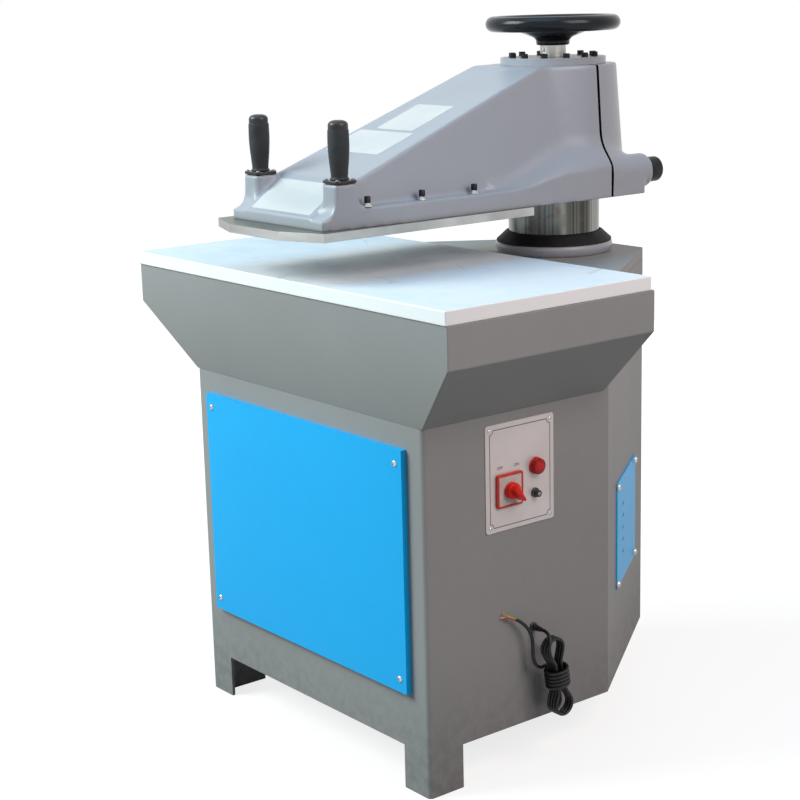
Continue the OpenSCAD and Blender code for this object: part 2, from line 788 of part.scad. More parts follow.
module arm_casting() {
    back = -seam_gap/2;
    color(arm_grey) difference() {
        union() {
            difference() {
                translate([0, 0, flange_z]) linear_extrude(flange_h) flange_plan(back);
                across(table_w) polygon([[nose_y - 1, nose_z], [nose_y, nose_z],
                    [foot_front_y + 20, ledge_z + 1], [nose_y - 1, ledge_z + 1]]);
            }
            difference() {
                union() {
                    arm_web(0, flange_z + 1);
                    housing();
                    translate([0, 0, flange_z]) cylinder(d = cap_d, h = housing_h);
                }
                translate([-table_w/2, back, flange_z - 1]) cube([table_w, table_w, housing_h + 2]);
            }
            across(2*slope_front_hw - 36) polygon([
                [nose_y, flange_z], [nose_y, nose_z], [slope_front_y, slope_front_z],
                [slope_front_y + 60, slope_front_z], [slope_front_y + 60, flange_z]]);
            for (s = [-1, 1]) on_side(s) {
                grip_boss();
                hull() {
                    translate([lug_x, lug_front, lug_z]) rod_y(lug_d, 1, $fn = 32);
                    translate([lug_tail_x, lug_tail_y, flange_z + lug_tail_d])
                        rod_y(lug_tail_d, 1, $fn = 32);
                }
                translate([lug_x, lug_front, lug_z]) rod_y(lug_d, back - lug_front);
            }
        }
        column_bore_cut();
        cap_screw_holes();
        arm_web(26, flange_z - 1);
        for (p = platen_bolts_xy) translate([p.x, p.y, flange_z - 1])
            cylinder(d = platen_bolt_d + 2*fit, h = 2*flange_h);
        for (s = [-1, 1]) translate([s*lug_x, back - clamp_grip, lug_z])
            rod_y(clamp_bolt_d + 2*fit, clamp_grip + 1);
    }
}

module clamp_cap() {
    front = seam_gap/2;
    straight = 85;
    color(arm_grey) difference() {
        union() {
            intersection() {
                housing();
                translate([-table_w/2, front, flange_z - 1]) cube([table_w, table_w, housing_h + 2]);
            }
            translate([0, 0, flange_z]) linear_extrude(flange_h) polygon([
                [-clamp_hw, front], [clamp_hw, front], [clamp_hw, straight], [lug_x, straight + 20],
                [60, straight + 35], [-60, straight + 35], [-lug_x, straight + 20], [-clamp_hw, straight]]);
            for (s = [-1, 1]) translate([s*lug_x, front, lug_z]) rod_y(lug_d, lug_back - front);
        }
        column_bore_cut();
        cap_screw_holes();
        for (s = [-1, 1]) translate([s*lug_x, 0, lug_z]) rod_y(clamp_bolt_d + 2*fit, lug_back + 1);
    }
}

module clamp_bolts() {
    color(black_rubber) for (s = [-1, 1]) translate([s*lug_x, lug_back, lug_z]) rotate([-90, 0, 0])
        socket_screw(clamp_bolt_d, lug_back + seam_gap/2 + clamp_grip - 5);
}

module platen() {
    front_hw = 73;
    corner = 32;
    hw = platen_w/2;
    front = y_table - platen_reach;
    back = y_table_back + 2;
    bolt_deep = 12;
    color(bright_steel) difference() {
        translate([0, 0, platen_z]) linear_extrude(platen_t) polygon([
            [-front_hw, front], [front_hw, front], [hw, front + corner],
            [hw, back], [-hw, back], [-hw, front + corner]]);
        for (p = platen_bolts_xy) translate([p.x, p.y, flange_z - bolt_deep])
            cylinder(d = platen_bolt_d + 2*fit, h = bolt_deep + 1);
    }
}

bush_h = 11;
washer_d = 17;
bush_d = 12;
washer_t = 3;

module platen_bushes() {
    color(bright_steel) for (p = platen_bolts_xy) translate([p.x, p.y, ledge_z]) difference() {
        union() {
            cylinder(d = washer_d, h = washer_t);
            cylinder(d = bush_d, h = bush_h);
        }
        translate([0, 0, -1]) cylinder(d = platen_bolt_d + 2*fit, h = bush_h + 2);
    }
}

module platen_bolts() {
    color(black_rubber) for (p = platen_bolts_xy) translate([p.x, p.y, ledge_z + bush_h])
        socket_screw(platen_bolt_d, bush_h + flange_h + 11);
}

module top_cap() {
    color(arm_grey) difference() {
        translate([0, 0, arm_top]) cylinder(d = cap_d, h = cap_t);
        translate([0, 0, arm_top - 1]) cylinder(d = spindle_d + 2*fit, h = cap_t + 2);
        cap_screw_places() translate([0, 0, -1]) cylinder(d = cap_screw_d + 2*fit, h = cap_t + 2);
    }
}

module cap_screws() {
    color(black_rubber) cap_screw_places() translate([0, 0, cap_t])
        socket_screw(cap_screw_d, cap_t + cap_shank - 1);
}

// Grips and their buttons

grip_screw_d = 4;
grip_screw_in = 6;
grip_base = grip_z + grip_plate_t;
grip_top = grip_base + grip_h;
stem_d = 20;

module at_grip(side) { translate([side*grip_span/2, grip_y, 0]) children(); }
module grip_screw_places(z) {
    for (s = [-1, 1]) at_grip(s) for (sx = [-1, 1], sy = [-1, 1])
        translate([sx*(grip_plate_w/2 - grip_screw_in), sy*(grip_plate_w/2 - grip_screw_in), z]) children();
}

module grip_plates() {
    color(black_rubber) difference() {
        for (s = [-1, 1]) at_grip(s) translate([0, 0, grip_z]) linear_extrude(grip_plate_t)
            round_square(grip_plate_w, grip_plate_w, 8);
        grip_screw_places(grip_z - 1) cylinder(d = grip_screw_d + 2*fit, h = grip_plate_t + 2);
    }
}

module grip_screws() {
    color(bright_steel) grip_screw_places(grip_base) {
        cylinder(d = 1.8*grip_screw_d, h = 0.6*grip_screw_d);
        translate([0, 0, -grip_plate_t]) cylinder(d = grip_screw_d, h = grip_plate_t);
    }
}

module grip(side) {
    r = grip_d/2;
    waist = 3;
    color(black_rubber) at_grip(side) translate([0, 0, grip_base]) difference() {
        rotate_extrude() polygon([[0, 0], [r - waist, 0], [r - waist, 6], [r - 0.5, grip_h*0.45],
            [r, grip_h*0.7], [r - 0.5, grip_h], [0, grip_h]]);
        translate([0, 0, grip_h - 20]) cylinder(d = stem_d + 2*fit, h = 21);
    }
}

module button(side) {
    r = grip_d/2 - 0.5;
    crown_r = 9;
    color(black_rubber) at_grip(side) translate([0, 0, grip_top + button_travel + seat_gap]) {
        rotate_extrude() {
            square([r - crown_r, button_h]);
            square([r, button_h - crown_r]);
            translate([r - crown_r, button_h - crown_r]) intersection() {
                circle(crown_r);
                square(crown_r);
            }
        }
        translate([0, 0, -button_travel - 12]) cylinder(d = stem_d, h = button_travel + 13);
    }
}

// Handwheel and height spindle

z_hub = cap_top + seat_gap + collar_h;
hub_h = 34;
spindle_below = height_up + 10;

module lock_collar() {
    neck_d = spindle_d + 3;
    neck_h = 0.26*collar_h;
    color(bright_steel) difference() {
        union() {
            translate([0, 0, cap_top + seat_gap]) ring(neck_d, spindle_d + 2*fit, neck_h);
            translate([0, 0, cap_top + seat_gap + neck_h])
                ring(collar_d, spindle_d + 2*fit, collar_h - neck_h);
        }
        for (a = [-85, 95]) rotate(a)
            translate([spindle_d/2 + 2, 0, cap_top + seat_gap + collar_h*0.55]) rod_x(5, collar_d);
    }
}

module spindle() {
    z0 = column_top - spindle_nut_h - spindle_below;
    color(bright_steel) {
        translate([0, 0, z0]) cylinder(d = spindle_d, h = z_hub + hub_h + 2 - z0);
        translate([0, 0, arm_top - seat_gap - shoulder_t]) cylinder(d = shoulder_d, h = shoulder_t);
    }
}

module handwheel() {
    rim_r = rim_d/2;
    ring_r = wheel_d/2 - rim_r;
    hub_r = hub_d/2;
    dish_z = 26;
    web = 8;
    color(black_rubber) difference() {
        translate([0, 0, z_hub]) rotate_extrude() {
            polygon([[0, 0], [hub_r, 0], [hub_r, 14], [ring_r*0.6, dish_z], [ring_r, dish_z + 4],
                     [ring_r, dish_z + 4 + web], [ring_r*0.6, dish_z + web], [hub_r, 14 + web],
                     [hub_r, hub_h], [0, hub_h]]);
            translate([ring_r, dish_z + 14]) circle(rim_r);
        }
        translate([0, 0, z_hub - 1]) cylinder(d = spindle_d + 2*fit, h = hub_h + 2);
    }
}

// Power unit inside the cabinet

tank_gap = 20;
motor_gap = 53;
drive_gap = 90;
motor_foot_in = 20;
pipe_in = 30;
pipe_bend_r = 40;
pipe_run = 50;
tank_w = 2*(x_body - sheet_t) - tank_gap - pump_l - drive_gap - motor_l - motor_gap;
tank_x = -x_body + sheet_t + tank_gap;
tank_y = y_body + sheet_t + 30;
shaft_z = z_floor + motor_d/2 + 20;
shaft_y = tank_y + tank_d/2;
pump_x = tank_x + tank_w;
motor_x = pump_x + pump_l + drive_gap;
shaft_in = 20;
valve_w = 120;
valve_d = 90;
valve_h = 110;
pipe_x = -port_reach - pipe_bend_r - pipe_run;
valve_x = pipe_x - pipe_in;
valve_y = tank_y + tank_d - valve_d;
z_valve = z_floor + tank_h;

module oil_tank() {
    wall = 4;
    color(tank_grey) translate([tank_x, tank_y, z_floor]) difference() {
        cube([tank_w, tank_d, tank_h]);
        translate([wall, wall, wall]) cube([tank_w - 2*wall, tank_d - 2*wall, tank_h - 2*wall]);
    }
}

module pump() {
    color(tank_grey) translate([pump_x, shaft_y, shaft_z]) difference() {
        rod_x(pump_d, pump_l);
        translate([pump_l - shaft_in, 0, 0]) rod_x(shaft_d + 2*fit, shaft_in + 1);
    }
}

module motor() {
    foot_w = 130;
    color(tank_grey) difference() {
        union() {
            translate([motor_x, shaft_y, shaft_z]) rod_x(motor_d, motor_l);
            translate([motor_x + motor_foot_in, shaft_y - foot_w/2, z_floor])
                cube([motor_l - 2*motor_foot_in, foot_w, shaft_z - z_floor]);
        }
        translate([motor_x - 1, shaft_y, shaft_z]) rod_x(shaft_d + 2*fit, shaft_in + 1);
    }
}

module drive_coupling() {
    hub_gap = 4;
    color(bright_steel) {
        translate([pump_x + pump_l - shaft_in + 1, shaft_y, shaft_z])
            rod_x(shaft_d, drive_gap + 2*shaft_in - 2);
        translate([pump_x + pump_l + hub_gap, shaft_y, shaft_z])
            rod_x(2.4*shaft_d, drive_gap - 2*hub_gap);
    }
}

module valve_block() {
    color(bright_steel) translate([valve_x, valve_y, z_valve]) cube([valve_w, valve_d, valve_h]);
}

// Steel pipe from the back of the power unit along Y, round a bend, then along +X to a port
module oil_pipe(z) {
    y0 = valve_y + valve_d;
    translate([pipe_x, y0, z]) rod_y(pipe_d, -y0 - pipe_bend_r);
    translate([pipe_x + pipe_bend_r, -pipe_bend_r, z]) rotate([0, 0, 90]) rotate_extrude(angle = 90)
        translate([pipe_bend_r, 0]) circle(d = pipe_d);
    translate([pipe_x + pipe_bend_r, 0, z]) rod_x(pipe_d, pipe_run);
}

module oil_pipes() {
    color(bright_steel) for (z = port_z) oil_pipe(z);
}

// Power cord: a gland, a lead down to a hank, the hank and its bare end

gland_y = y_body + 235;
gland_z = 248;
gland_neck_d = 12;
gland_l = 21;
gland_flange_t = 5;
gland_nut_l = 6;
cord_pitch = cord_d + 0.5;
fold_r = 3.05*cord_d;
waist_r = 8;
hank_runs = 4;
wrap_turns = 5;
wrap_r = 19.3;
wrap_step = cord_d + 0.6;
draw_in = 31;
waist_pad = 4;
loop_rings = 24;
wrap_h = wrap_turns*wrap_step;
fold_up = wrap_h/2 + waist_pad + draw_in;
hank_tilt = 8;
hank_out = 42;
hank_y = gland_y + 17;
hank_z = gland_z - 82;

// Half-width of the hank at height h from its middle
function hank_half(h) =
    let (k = max(0, min(1, (abs(h) - wrap_h/2 - waist_pad)/draw_in)))
    waist_r + (fold_r - waist_r)*(1 - cos(180*k))/2;
function layer_x(i) = ((hank_runs - 1)/2 - i)*cord_pitch;
run_steps = 8;
fold_steps = 6;
// One run of the hank, from the top down or from the bottom up, between two layers
function hank_run(side, down, x0, x1) = [for (i = [0:run_steps])
    let (k = i/run_steps, h = (down ? 1 - 2*k : 2*k - 1)*fold_up)
    [x0 + (x1 - x0)*(1 - cos(180*k))/2, side*hank_half(h), h]];
// One fold, over the top or under the bottom
function hank_fold(top, x0, x1) = [for (i = [1:fold_steps - 1])
    let (k = i/fold_steps, a = 180*k, s = top ? 1 : -1)
    [x0 + (x1 - x0)*k, s*fold_r*cos(a), s*(fold_up + fold_r*sin(a))]];
// The rise from the last fold into the first wrap
function wrap_entry() = [for (i = [0:4]) let (a = 90*i/4)
    [-wrap_r, fold_r*cos(a), -wrap_h/2 - fold_r + fold_r*sin(a)]];
// The wraps round the waist
function wraps() = [for (i = [1:wrap_turns*loop_rings]) let (a = 360*i/loop_rings)
    [-wrap_r*cos(a), -wrap_r*sin(a), -wrap_h/2 + wrap_step*i/loop_rings]];
hank_local = concat(
    [[layer_x(0), -fold_r, fold_up + cord_d]],
    [for (i = [0:hank_runs - 1]) each concat(
        hank_run(-1, true, layer_x(i), layer_x(i)),
        hank_fold(false, layer_x(i), i < hank_runs - 1 ? layer_x(i) : -wrap_r),
        i < hank_runs - 1 ? concat(hank_run(1, false, layer_x(i), layer_x(i + 1)),
                                   hank_fold(true, layer_x(i + 1), layer_x(i + 1))) : [])],
    [[-wrap_r, fold_r, -fold_up]],
    wrap_entry(), wraps(),
    [[-wrap_r, -cord_d, wrap_h/2]]);
function to_world(p) = [x_body + hank_out + p.x,
    hank_y + p.y*cos(hank_tilt) - p.z*sin(hank_tilt),
    hank_z + p.y*sin(hank_tilt) + p.z*cos(hank_tilt)];
hank_path = [for (p = hank_local) to_world(p)];
// Place on the side panel, counted from the gland: out, back and up
function from_gland(p) = [x_body + p.x, gland_y + p.y, gland_z + p.z];
lead_places = [[gland_l, 0, 0], [28, 0, 0], [37.2, -1, -1.8], [45, -3.3, -7], [50.2, -6.3, -14.8]];
lead_path = concat([for (p = lead_places) from_gland(p)],
    [hank_path[0] + cord_d*unit(hank_path[0] - hank_path[1]), hank_path[0]]);
tail_out = hank_out - wrap_r;
lean_out = cord_d/2 + 0.3;
tail_places = [[tail_out, -3, -67], [tail_out, -12, -62], [tail_out, -18, -53], [22.7, -20.5, -41],
    [22.5, -21, -28], [21.8, -21, -16], [20.2, -23, -3], [17.6, -29, 9.5], [14, -39, 20.5],
    [9.8, -52, 29.5], [5.8, -66, 36.5], [lean_out, -80, 42.5]];
tail_path = concat([hank_path[len(hank_path) - 1]], [for (p = tail_places) from_gland(p)]);

// Frame at point i of a path: the direction there, and two normals carried along it
function path_dir(p, i) = unit(p[min(i + 1, len(p) - 1)] - p[max(i - 1, 0)]);
function normals(p, i = 0, n = [0, 0, 0]) =
    i == len(p) ? [] :
    let (t = path_dir(p, i), seed = i > 0 ? n : abs(t.z) < 0.9 ? [0, 0, 1] : [1, 0, 0])
    let (m = unit(seed - (seed*t)*t))
    concat([m], normals(p, i + 1, m));
module tube(p, d, sides) {
    ns = normals(p);
    last = len(p) - 1;
    pts = [for (i = [0:last]) let (t = path_dir(p, i), b = cross(t, ns[i]))
        for (k = [0:sides - 1]) p[i] + d/2*(cos(360*k/sides)*ns[i] + sin(360*k/sides)*b)];
    walls = [for (i = [0:last - 1], k = [0:sides - 1])
        let (a = i*sides + k, b = i*sides + (k + 1)%sides)
        each [[a, a + sides, b + sides], [a, b + sides, b]]];
    caps = [for (k = [1:sides - 2]) each [[0, k, k + 1], [last*sides, last*sides + k + 1, last*sides + k]]];
    polyhedron(pts, concat(walls, caps));
}

// Least gap of the hank's tube to itself, on points more than one fold apart along it
self_gap = min([for (i = [0:len(hank_local) - 1], j = [i + 8:1:len(hank_local) - 1])
    norm(hank_local[i] - hank_local[j])]) - cord_d;
echo(hank_least_gap = self_gap);

module cable_gland() {
    color(black_rubber) translate([x_body, gland_y, gland_z]) rotate([0, 90, 0]) rotate_extrude() polygon([
        [0, -sheet_t - gland_nut_l], [gland_neck_d/2, -sheet_t - gland_nut_l], [gland_neck_d/2, 0],
        [gland_d/2, 0], [gland_d/2, gland_flange_t], [cord_d/2 + 3, gland_flange_t + 1],
        [cord_d/2 + 1, gland_l], [0, gland_l]]);
}

module cord_lead() { color(black_rubber) tube(lead_path, cord_d, 8); }
module cord_hank() { color(black_rubber) tube(hank_path, cord_d, 6); }
module cord_tail() { color(black_rubber) tube(tail_path, cord_d, 8); }

front_panel();
leg_post(-1);  // leg_post_left
leg_post(1);  // leg_post_right
side_panel_left();
side_panel_right();
wing_panel_left();
wing_panel_right();
rear_panel();
floor_plate();
rear_foot();
skirt_front();
skirt_left();
skirt_right();
table_plate();
deck_plate();
cutting_board();
front_cover();
vent_cover();
panel_screws();
control_plate();
switch_body();
switch_knob();
pilot_lamp();
fuse_holder();
guide_sleeve();
dust_skirt();
cylinder_barrel();
cylinder_head();
oil_tank();
motor();
pump();
drive_coupling();
valve_block();
oil_pipes();
cable_gland();
cord_lead();
cord_hank();
cord_tail();
piston_rod();
thrust_bearing();
rod_nut();
column();
spindle_nut();
arm_casting();
clamp_cap();
clamp_bolts();
platen();
platen_bolts();
platen_bushes();
top_cap();
cap_screws();
grip_plates();
grip_screws();
grip(-1);  // grip_left
grip(1);  // grip_right
button(-1);  // button_left
button(1);  // button_right
handwheel();
spindle();
lock_collar();
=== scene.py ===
import json
import math

import bmesh
import bpy
import numpy as np
import openvdb
from mathutils import Matrix, Vector


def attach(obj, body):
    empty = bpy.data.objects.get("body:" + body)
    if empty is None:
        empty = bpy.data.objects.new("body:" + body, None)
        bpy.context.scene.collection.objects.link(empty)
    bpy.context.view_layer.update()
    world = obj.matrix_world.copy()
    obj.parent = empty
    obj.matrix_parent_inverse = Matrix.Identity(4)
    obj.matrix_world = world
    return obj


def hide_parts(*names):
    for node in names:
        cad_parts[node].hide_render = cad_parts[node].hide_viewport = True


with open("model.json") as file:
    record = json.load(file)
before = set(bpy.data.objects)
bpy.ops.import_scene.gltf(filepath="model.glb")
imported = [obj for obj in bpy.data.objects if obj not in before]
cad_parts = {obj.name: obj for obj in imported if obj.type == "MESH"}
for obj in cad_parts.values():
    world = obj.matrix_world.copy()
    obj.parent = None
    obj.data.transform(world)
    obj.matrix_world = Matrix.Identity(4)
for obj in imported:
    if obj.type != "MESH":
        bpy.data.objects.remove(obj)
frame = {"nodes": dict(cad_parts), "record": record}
nodes = frame["nodes"]
bodyOf = {node: body for body, members in frame["record"]["behaviour"]["bodies"].items() for node in members}
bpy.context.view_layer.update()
print("frame loaded with", len(nodes), "nodes")


# Camera at the photograph's place

view = {
    "place": (2.4562, -2.3152, 1.3279),
    "right": (0.62257, 0.78218, -0.02459),
    "down": (0.16398, -0.16111, -0.97322),
    "forward": (-0.76519, 0.60186, -0.22856),
    "lens": 79.76,
    "sensor": 36.0,
}


def setCamera(s):
    lens = bpy.data.cameras.new("viewCamera")
    lens.lens = s["lens"]
    lens.sensor_width = s["sensor"]
    eye = bpy.data.objects.new("viewCamera", lens)
    columns = (Vector(s["right"]), -Vector(s["down"]), -Vector(s["forward"]))
    turn = Matrix(columns).transposed().to_4x4()
    eye.matrix_world = Matrix.Translation(s["place"]) @ turn
    bpy.context.scene.collection.objects.link(eye)
    bpy.context.scene.camera = eye


setCamera(view)
print("camera set")


# Shader wires: an expression on a wire adds the node that works it out

class Wire:
    def __init__(self, tree, socket):
        self.tree = tree
        self.socket = socket

    def node(self, kind, settings=None, values=None, out=0):
        made = self.tree.nodes.new(kind)
        for key, value in (settings or {}).items():
            setattr(made, key, value)
        for key, value in (values or {}).items():
            if isinstance(value, Wire):
                self.tree.links.new(value.socket, made.inputs[key])
            else:
                made.inputs[key].default_value = value
        return Wire(self.tree, made.outputs[out])

    def maths(self, operation, first, second=0.0):
        return self.node("ShaderNodeMath", {"operation": operation}, {0: first, 1: second})

    def __add__(self, other):
        return self.maths("ADD", self, other)

    def __radd__(self, other):
        return self.maths("ADD", other, self)

    def __sub__(self, other):
        return self.maths("SUBTRACT", self, other)

    def __rsub__(self, other):
        return self.maths("SUBTRACT", other, self)

    def __mul__(self, other):
        return self.maths("MULTIPLY", self, other)

    def __rmul__(self, other):
        return self.maths("MULTIPLY", other, self)

    def __abs__(self):
        return self.maths("ABSOLUTE", self)

    def between(self, low, high, start=0.0, end=1.0):
        sockets = {"Value": self, "From Min": low, "From Max": high, "To Min": start, "To Max": end}
        return self.node("ShaderNodeMapRange", {"interpolation_type": "SMOOTHSTEP"}, sockets)

    def mix(self, first, second):
        return self.node("ShaderNodeMix", {"data_type": "RGBA"}, {0: self, 6: first, 7: second}, 2)

    def scaled(self, factor):
        return self.node("ShaderNodeVectorMath", {"operation": "SCALE"}, {0: self, "Scale": factor})

    def noise(self, scale, detail=2.0, rough=0.5, stretch=(1.0, 1.0, 1.0), shift=(0.0, 0.0, 0.0)):
        place = self.node("ShaderNodeMapping", {}, {"Vector": self, "Scale": stretch, "Location": shift})
        sockets = {"Vector": place, "Scale": scale, "Detail": detail, "Roughness": rough}
        return self.node("ShaderNodeTexNoise", {}, sockets)

    def axis(self, which):
        return self.node("ShaderNodeSeparateXYZ", {}, {"Vector": self}, which)

    def bump(self, distance):
        return self.node("ShaderNodeBump", {}, {"Height": self, "Distance": distance, "Strength": 1.0})


# Linear colour of a colour on the screen, by the standard curve
def screen(red, green, blue):
    parts = []
    for level in (red, green, blue):
        c = level/255
        parts.append(c/12.92 if c <= 0.04045 else ((c + 0.055)/1.055)**2.4)
    return (*parts, 1.0)


def newFinish(name, fixed):
    finish = bpy.data.materials.new(name)
    finish.use_nodes = True
    tree = finish.node_tree
    shader = tree.nodes["Principled BSDF"]
    for key, value in fixed.items():
        shader.inputs[key].default_value = value
    place = Wire(tree, tree.nodes.new("ShaderNodeTexCoord").outputs["Object"])
    return finish, shader, place


def feed(shader, wires):
    for key, wire in wires.items():
        wire.tree.links.new(wire.socket, shader.inputs[key])


# Sprayed enamel: broad drift of tone, rubbed streaks, dust and painted shade darkening it near the floor,
# orange peel

enamelLook = {
    "cloud": (3.0, 0.55), "grain": (55.0, 4.0, 0.6), "streak": (3.0, 0.6), "cloudShare": 0.7,
    "grainShare": 0.3, "toneSpan": (0.28, 0.72), "streakSpan": (0.62, 0.78), "patchSpan": (0.42, 0.62),
    "dustSpan": (0.3, 0.7, 0.25, 1.0), "rubbedRough": 0.10, "grainRough": 0.08, "dustRough": 0.15,
    "coatLoss": 0.5, "peelShare": 0.7,
}


def sprayedEnamel(s):
    e = enamelLook
    fixed = {"Coat Roughness": s["coatRough"], "Specular IOR Level": s["gloss"]}
    finish, shader, place = newFinish(s["name"], fixed)
    cloud = place.noise(s["cloudScale"], *e["cloud"])
    grain = place.noise(*e["grain"])
    streak = place.noise(1.0, *e["streak"], s["streak"])
    drift = cloud*e["cloudShare"] + grain*e["grainShare"]
    tone = drift.between(*e["toneSpan"], 1 - s["drift"], 1 + s["drift"])
    rubbed = streak.between(*e["streakSpan"])*cloud.between(*e["patchSpan"])
    # Dust and painted shade: patchy darkening towards the floor, where shade falls as well as dust
    dust = place.axis(2).between(0.0, s["dustHeight"], 1.0, 0.0)*grain.between(*e["dustSpan"])
    plain = place.node("ShaderNodeRGB")
    plain.socket.default_value = s["colour"]
    coat = (rubbed*s["rub"]).mix(plain.scaled(tone), s["pale"])
    colour = (dust*s["dust"]).mix(coat, s["dustColour"])
    feed(shader, {
        "Base Color": colour,
        "Roughness": s["rough"] + rubbed*e["rubbedRough"] + grain*e["grainRough"] + dust*e["dustRough"],
        "Coat Weight": s["coat"]*(1 - rubbed*e["coatLoss"]),
        "Normal": (place.noise(s["peelScale"], 1.0)*e["peelShare"] + grain*s["wave"]).bump(s["peel"]),
    })
    return finish


cabinetEnamel = sprayedEnamel({
    "name": "cabinetEnamel", "colour": screen(155, 155, 154), "pale": screen(172, 171, 169), "gloss": 0.06,
    "dustColour": screen(110, 108, 105), "rough": 0.5, "coat": 0.02, "coatRough": 0.3, "drift": 0.035,
    "rub": 0.22, "dust": 0.5, "dustHeight": 0.26, "cloudScale": 3.0, "streak": (26.0, 26.0, 3.0),
    "peelScale": 420.0, "peel": 0.00012, "wave": 0.4})
armEnamel = sprayedEnamel({
    "name": "armEnamel", "colour": screen(157, 161, 168), "pale": screen(174, 178, 184), "gloss": 0.35,
    "dustColour": screen(150, 150, 150), "rough": 0.34, "coat": 0.3, "coatRough": 0.28, "drift": 0.03,
    "rub": 0.12, "dust": 0.0, "dustHeight": 0.01, "cloudScale": 6.0, "streak": (9.0, 30.0, 30.0),
    "peelScale": 300.0, "peel": 0.00022, "wave": 0.9})
coverEnamel = sprayedEnamel({
    "name": "coverEnamel", "colour": screen(16, 178, 246), "pale": screen(56, 190, 248), "gloss": 0.1,
    "dustColour": screen(56, 150, 200), "rough": 0.40, "coat": 0.15, "coatRough": 0.25, "drift": 0.03,
    "rub": 0.12, "dust": 0.25, "dustHeight": 0.26, "cloudScale": 2.6, "streak": (20.0, 20.0, 2.4),
    "peelScale": 420.0, "peel": 0.00012, "wave": 0.4})
unitEnamel = sprayedEnamel({
    "name": "unitEnamel", "colour": screen(96, 102, 108), "pale": screen(124, 128, 132), "gloss": 0.3,
    "dustColour": screen(86, 80, 72), "rough": 0.45, "coat": 0.2, "coatRough": 0.3, "drift": 0.06,
    "rub": 0.3, "dust": 0.4, "dustHeight": 0.3, "cloudScale": 5.0, "streak": (30.0, 30.0, 5.0),
    "peelScale": 400.0, "peel": 0.0002, "wave": 0.6})


# Board of white plastic: faint knife lines two ways, rubbed patches, sawn edges whiter than the top, partly
# as painted light glowing through them

def boardPlastic(s):
    finish, shader, place = newFinish("boardPlastic", {"Specular IOR Level": s["gloss"]})
    lines = None
    for turn, stretch in s["cuts"]:
        laid = {"Vector": place, "Rotation": (0, 0, turn), "Scale": stretch}
        tilted = place.node("ShaderNodeMapping", {}, laid)
        toEdge = {"feature": "DISTANCE_TO_EDGE"}
        cells = tilted.node("ShaderNodeTexVoronoi", toEdge, {"Vector": tilted, "Scale": 1.0})
        broken = tilted.noise(*s["breaks"]).between(*s["breakSpan"])
        cut = cells.between(0.0, s["cutWidth"], 1.0, 0.0)*broken
        lines = cut if lines is None else lines.maths("MAXIMUM", lines, cut)
    upper = place.axis(2).between(s["top"] - s["topDepth"], s["top"])
    lines = lines*upper
    rubbed = place.noise(*s["rubs"]).between(*s["rubSpan"])
    sawn = place.noise(1.0, *s["saw"], s["sawLines"])
    # The sawn edges are whiter than the top: partly raw cut plastic, partly painted light glowing through the
    # edges
    worn = upper.mix(s["sawnEdgeAndGlowColour"], rubbed.mix(s["colour"], s["rubbedColour"]))
    feed(shader, {
        "Base Color": (lines*s["cutTint"]).mix(worn, s["cutColour"]),
        "Roughness": s["rough"] + rubbed*s["rubbedRough"] - lines*s["cutGloss"],
        "Normal": (sawn*s["sawShare"] - lines).bump(s["depth"]),
    })
    return finish


whiteBoard = boardPlastic({
    "top": 0.8499, "topDepth": 0.0003, "gloss": 0.25, "colour": screen(219, 228, 234),
    "rubbedColour": screen(210, 221, 229), "sawnEdgeAndGlowColour": screen(251, 252, 252),
    "cutColour": screen(132, 142, 152), "cutWidth": 0.012, "cutTint": 0.30, "cutGloss": 0.1,
    "cuts": [(0.35, (3.0, 14.0, 1.0)), (1.25, (2.4, 11.0, 1.0))], "breaks": (0.8, 2.0),
    "breakSpan": (0.5, 0.64), "rubs": (7.0, 4.0, 0.6), "rubSpan": (0.4, 0.7), "rough": 0.48,
    "rubbedRough": 0.14, "saw": (2.0, 0.5), "sawLines": (9.0, 9.0, 900.0), "sawShare": 0.25, "depth": 0.0004})


# Bare steel: lines of the last cut along one direction, light stains

steelLook = {
    "gloss": 0.4, "lines": (3.0, 0.65), "broad": (2.0, 0.5), "stain": (24.0, 4.0, 0.6),
    "stainSpan": (0.55, 0.75), "lineShare": 0.4, "broadShare": 0.6, "toneSpan": (0.3, 0.7),
    "shadedTopDepth": 0.0005, "stainDull": 0.15, "stainRough": 0.12,
}


def bareSteel(s):
    m = steelLook
    finish, shader, place = newFinish(s["name"], {"Specular IOR Level": m["gloss"]})
    lines = place.noise(1.0, *m["lines"], s["lines"])
    # The shift moves the broad bands; on the column it sets where the painted dark reflection falls
    broad = place.noise(1.0, *m["broad"], s["broad"], s.get("shift", (0.0, 0.0, 0.0)))
    stain = place.noise(*m["stain"]).between(*m["stainSpan"])
    tone = (lines*m["lineShare"] + broad*m["broadShare"]).between(*m["toneSpan"])
    bright = tone.mix(s["dark"], s["light"])
    # Painted shade: above the given height the steel takes a darker tone, at the platen's upper edge where it
    # meets the arm
    if "shadedTop" in s:
        level, shadeTone = s["shadedTop"]
        bright = place.axis(2).between(level - m["shadedTopDepth"], level).mix(bright, shadeTone)
    feed(shader, {
        "Base Color": (stain*s["stain"]).mix(bright, s["stainColour"]),
        "Metallic": 1 - stain*m["stainDull"],
        "Roughness": s["rough"] + lines*s["spread"] + stain*m["stainRough"],
        "Normal": lines.bump(s["depth"]),
    })
    return finish


# Column steel: very dark and light tall bands, shifted so the dark lies on the column's left: painted
# reflection and shade
columnSteelPaintedReflection = bareSteel({
    "name": "columnSteelPaintedReflection", "dark": screen(34, 35, 33), "light": screen(158, 158, 153), "stain": 0.3,
    "stainColour": screen(120, 96, 78), "rough": 0.16, "spread": 0.08, "depth": 0.00001,
    "lines": (170.0, 170.0, 0.8), "broad": (11.0, 11.0, 0.3), "shift": (5.1, 3.9, 0.0)})
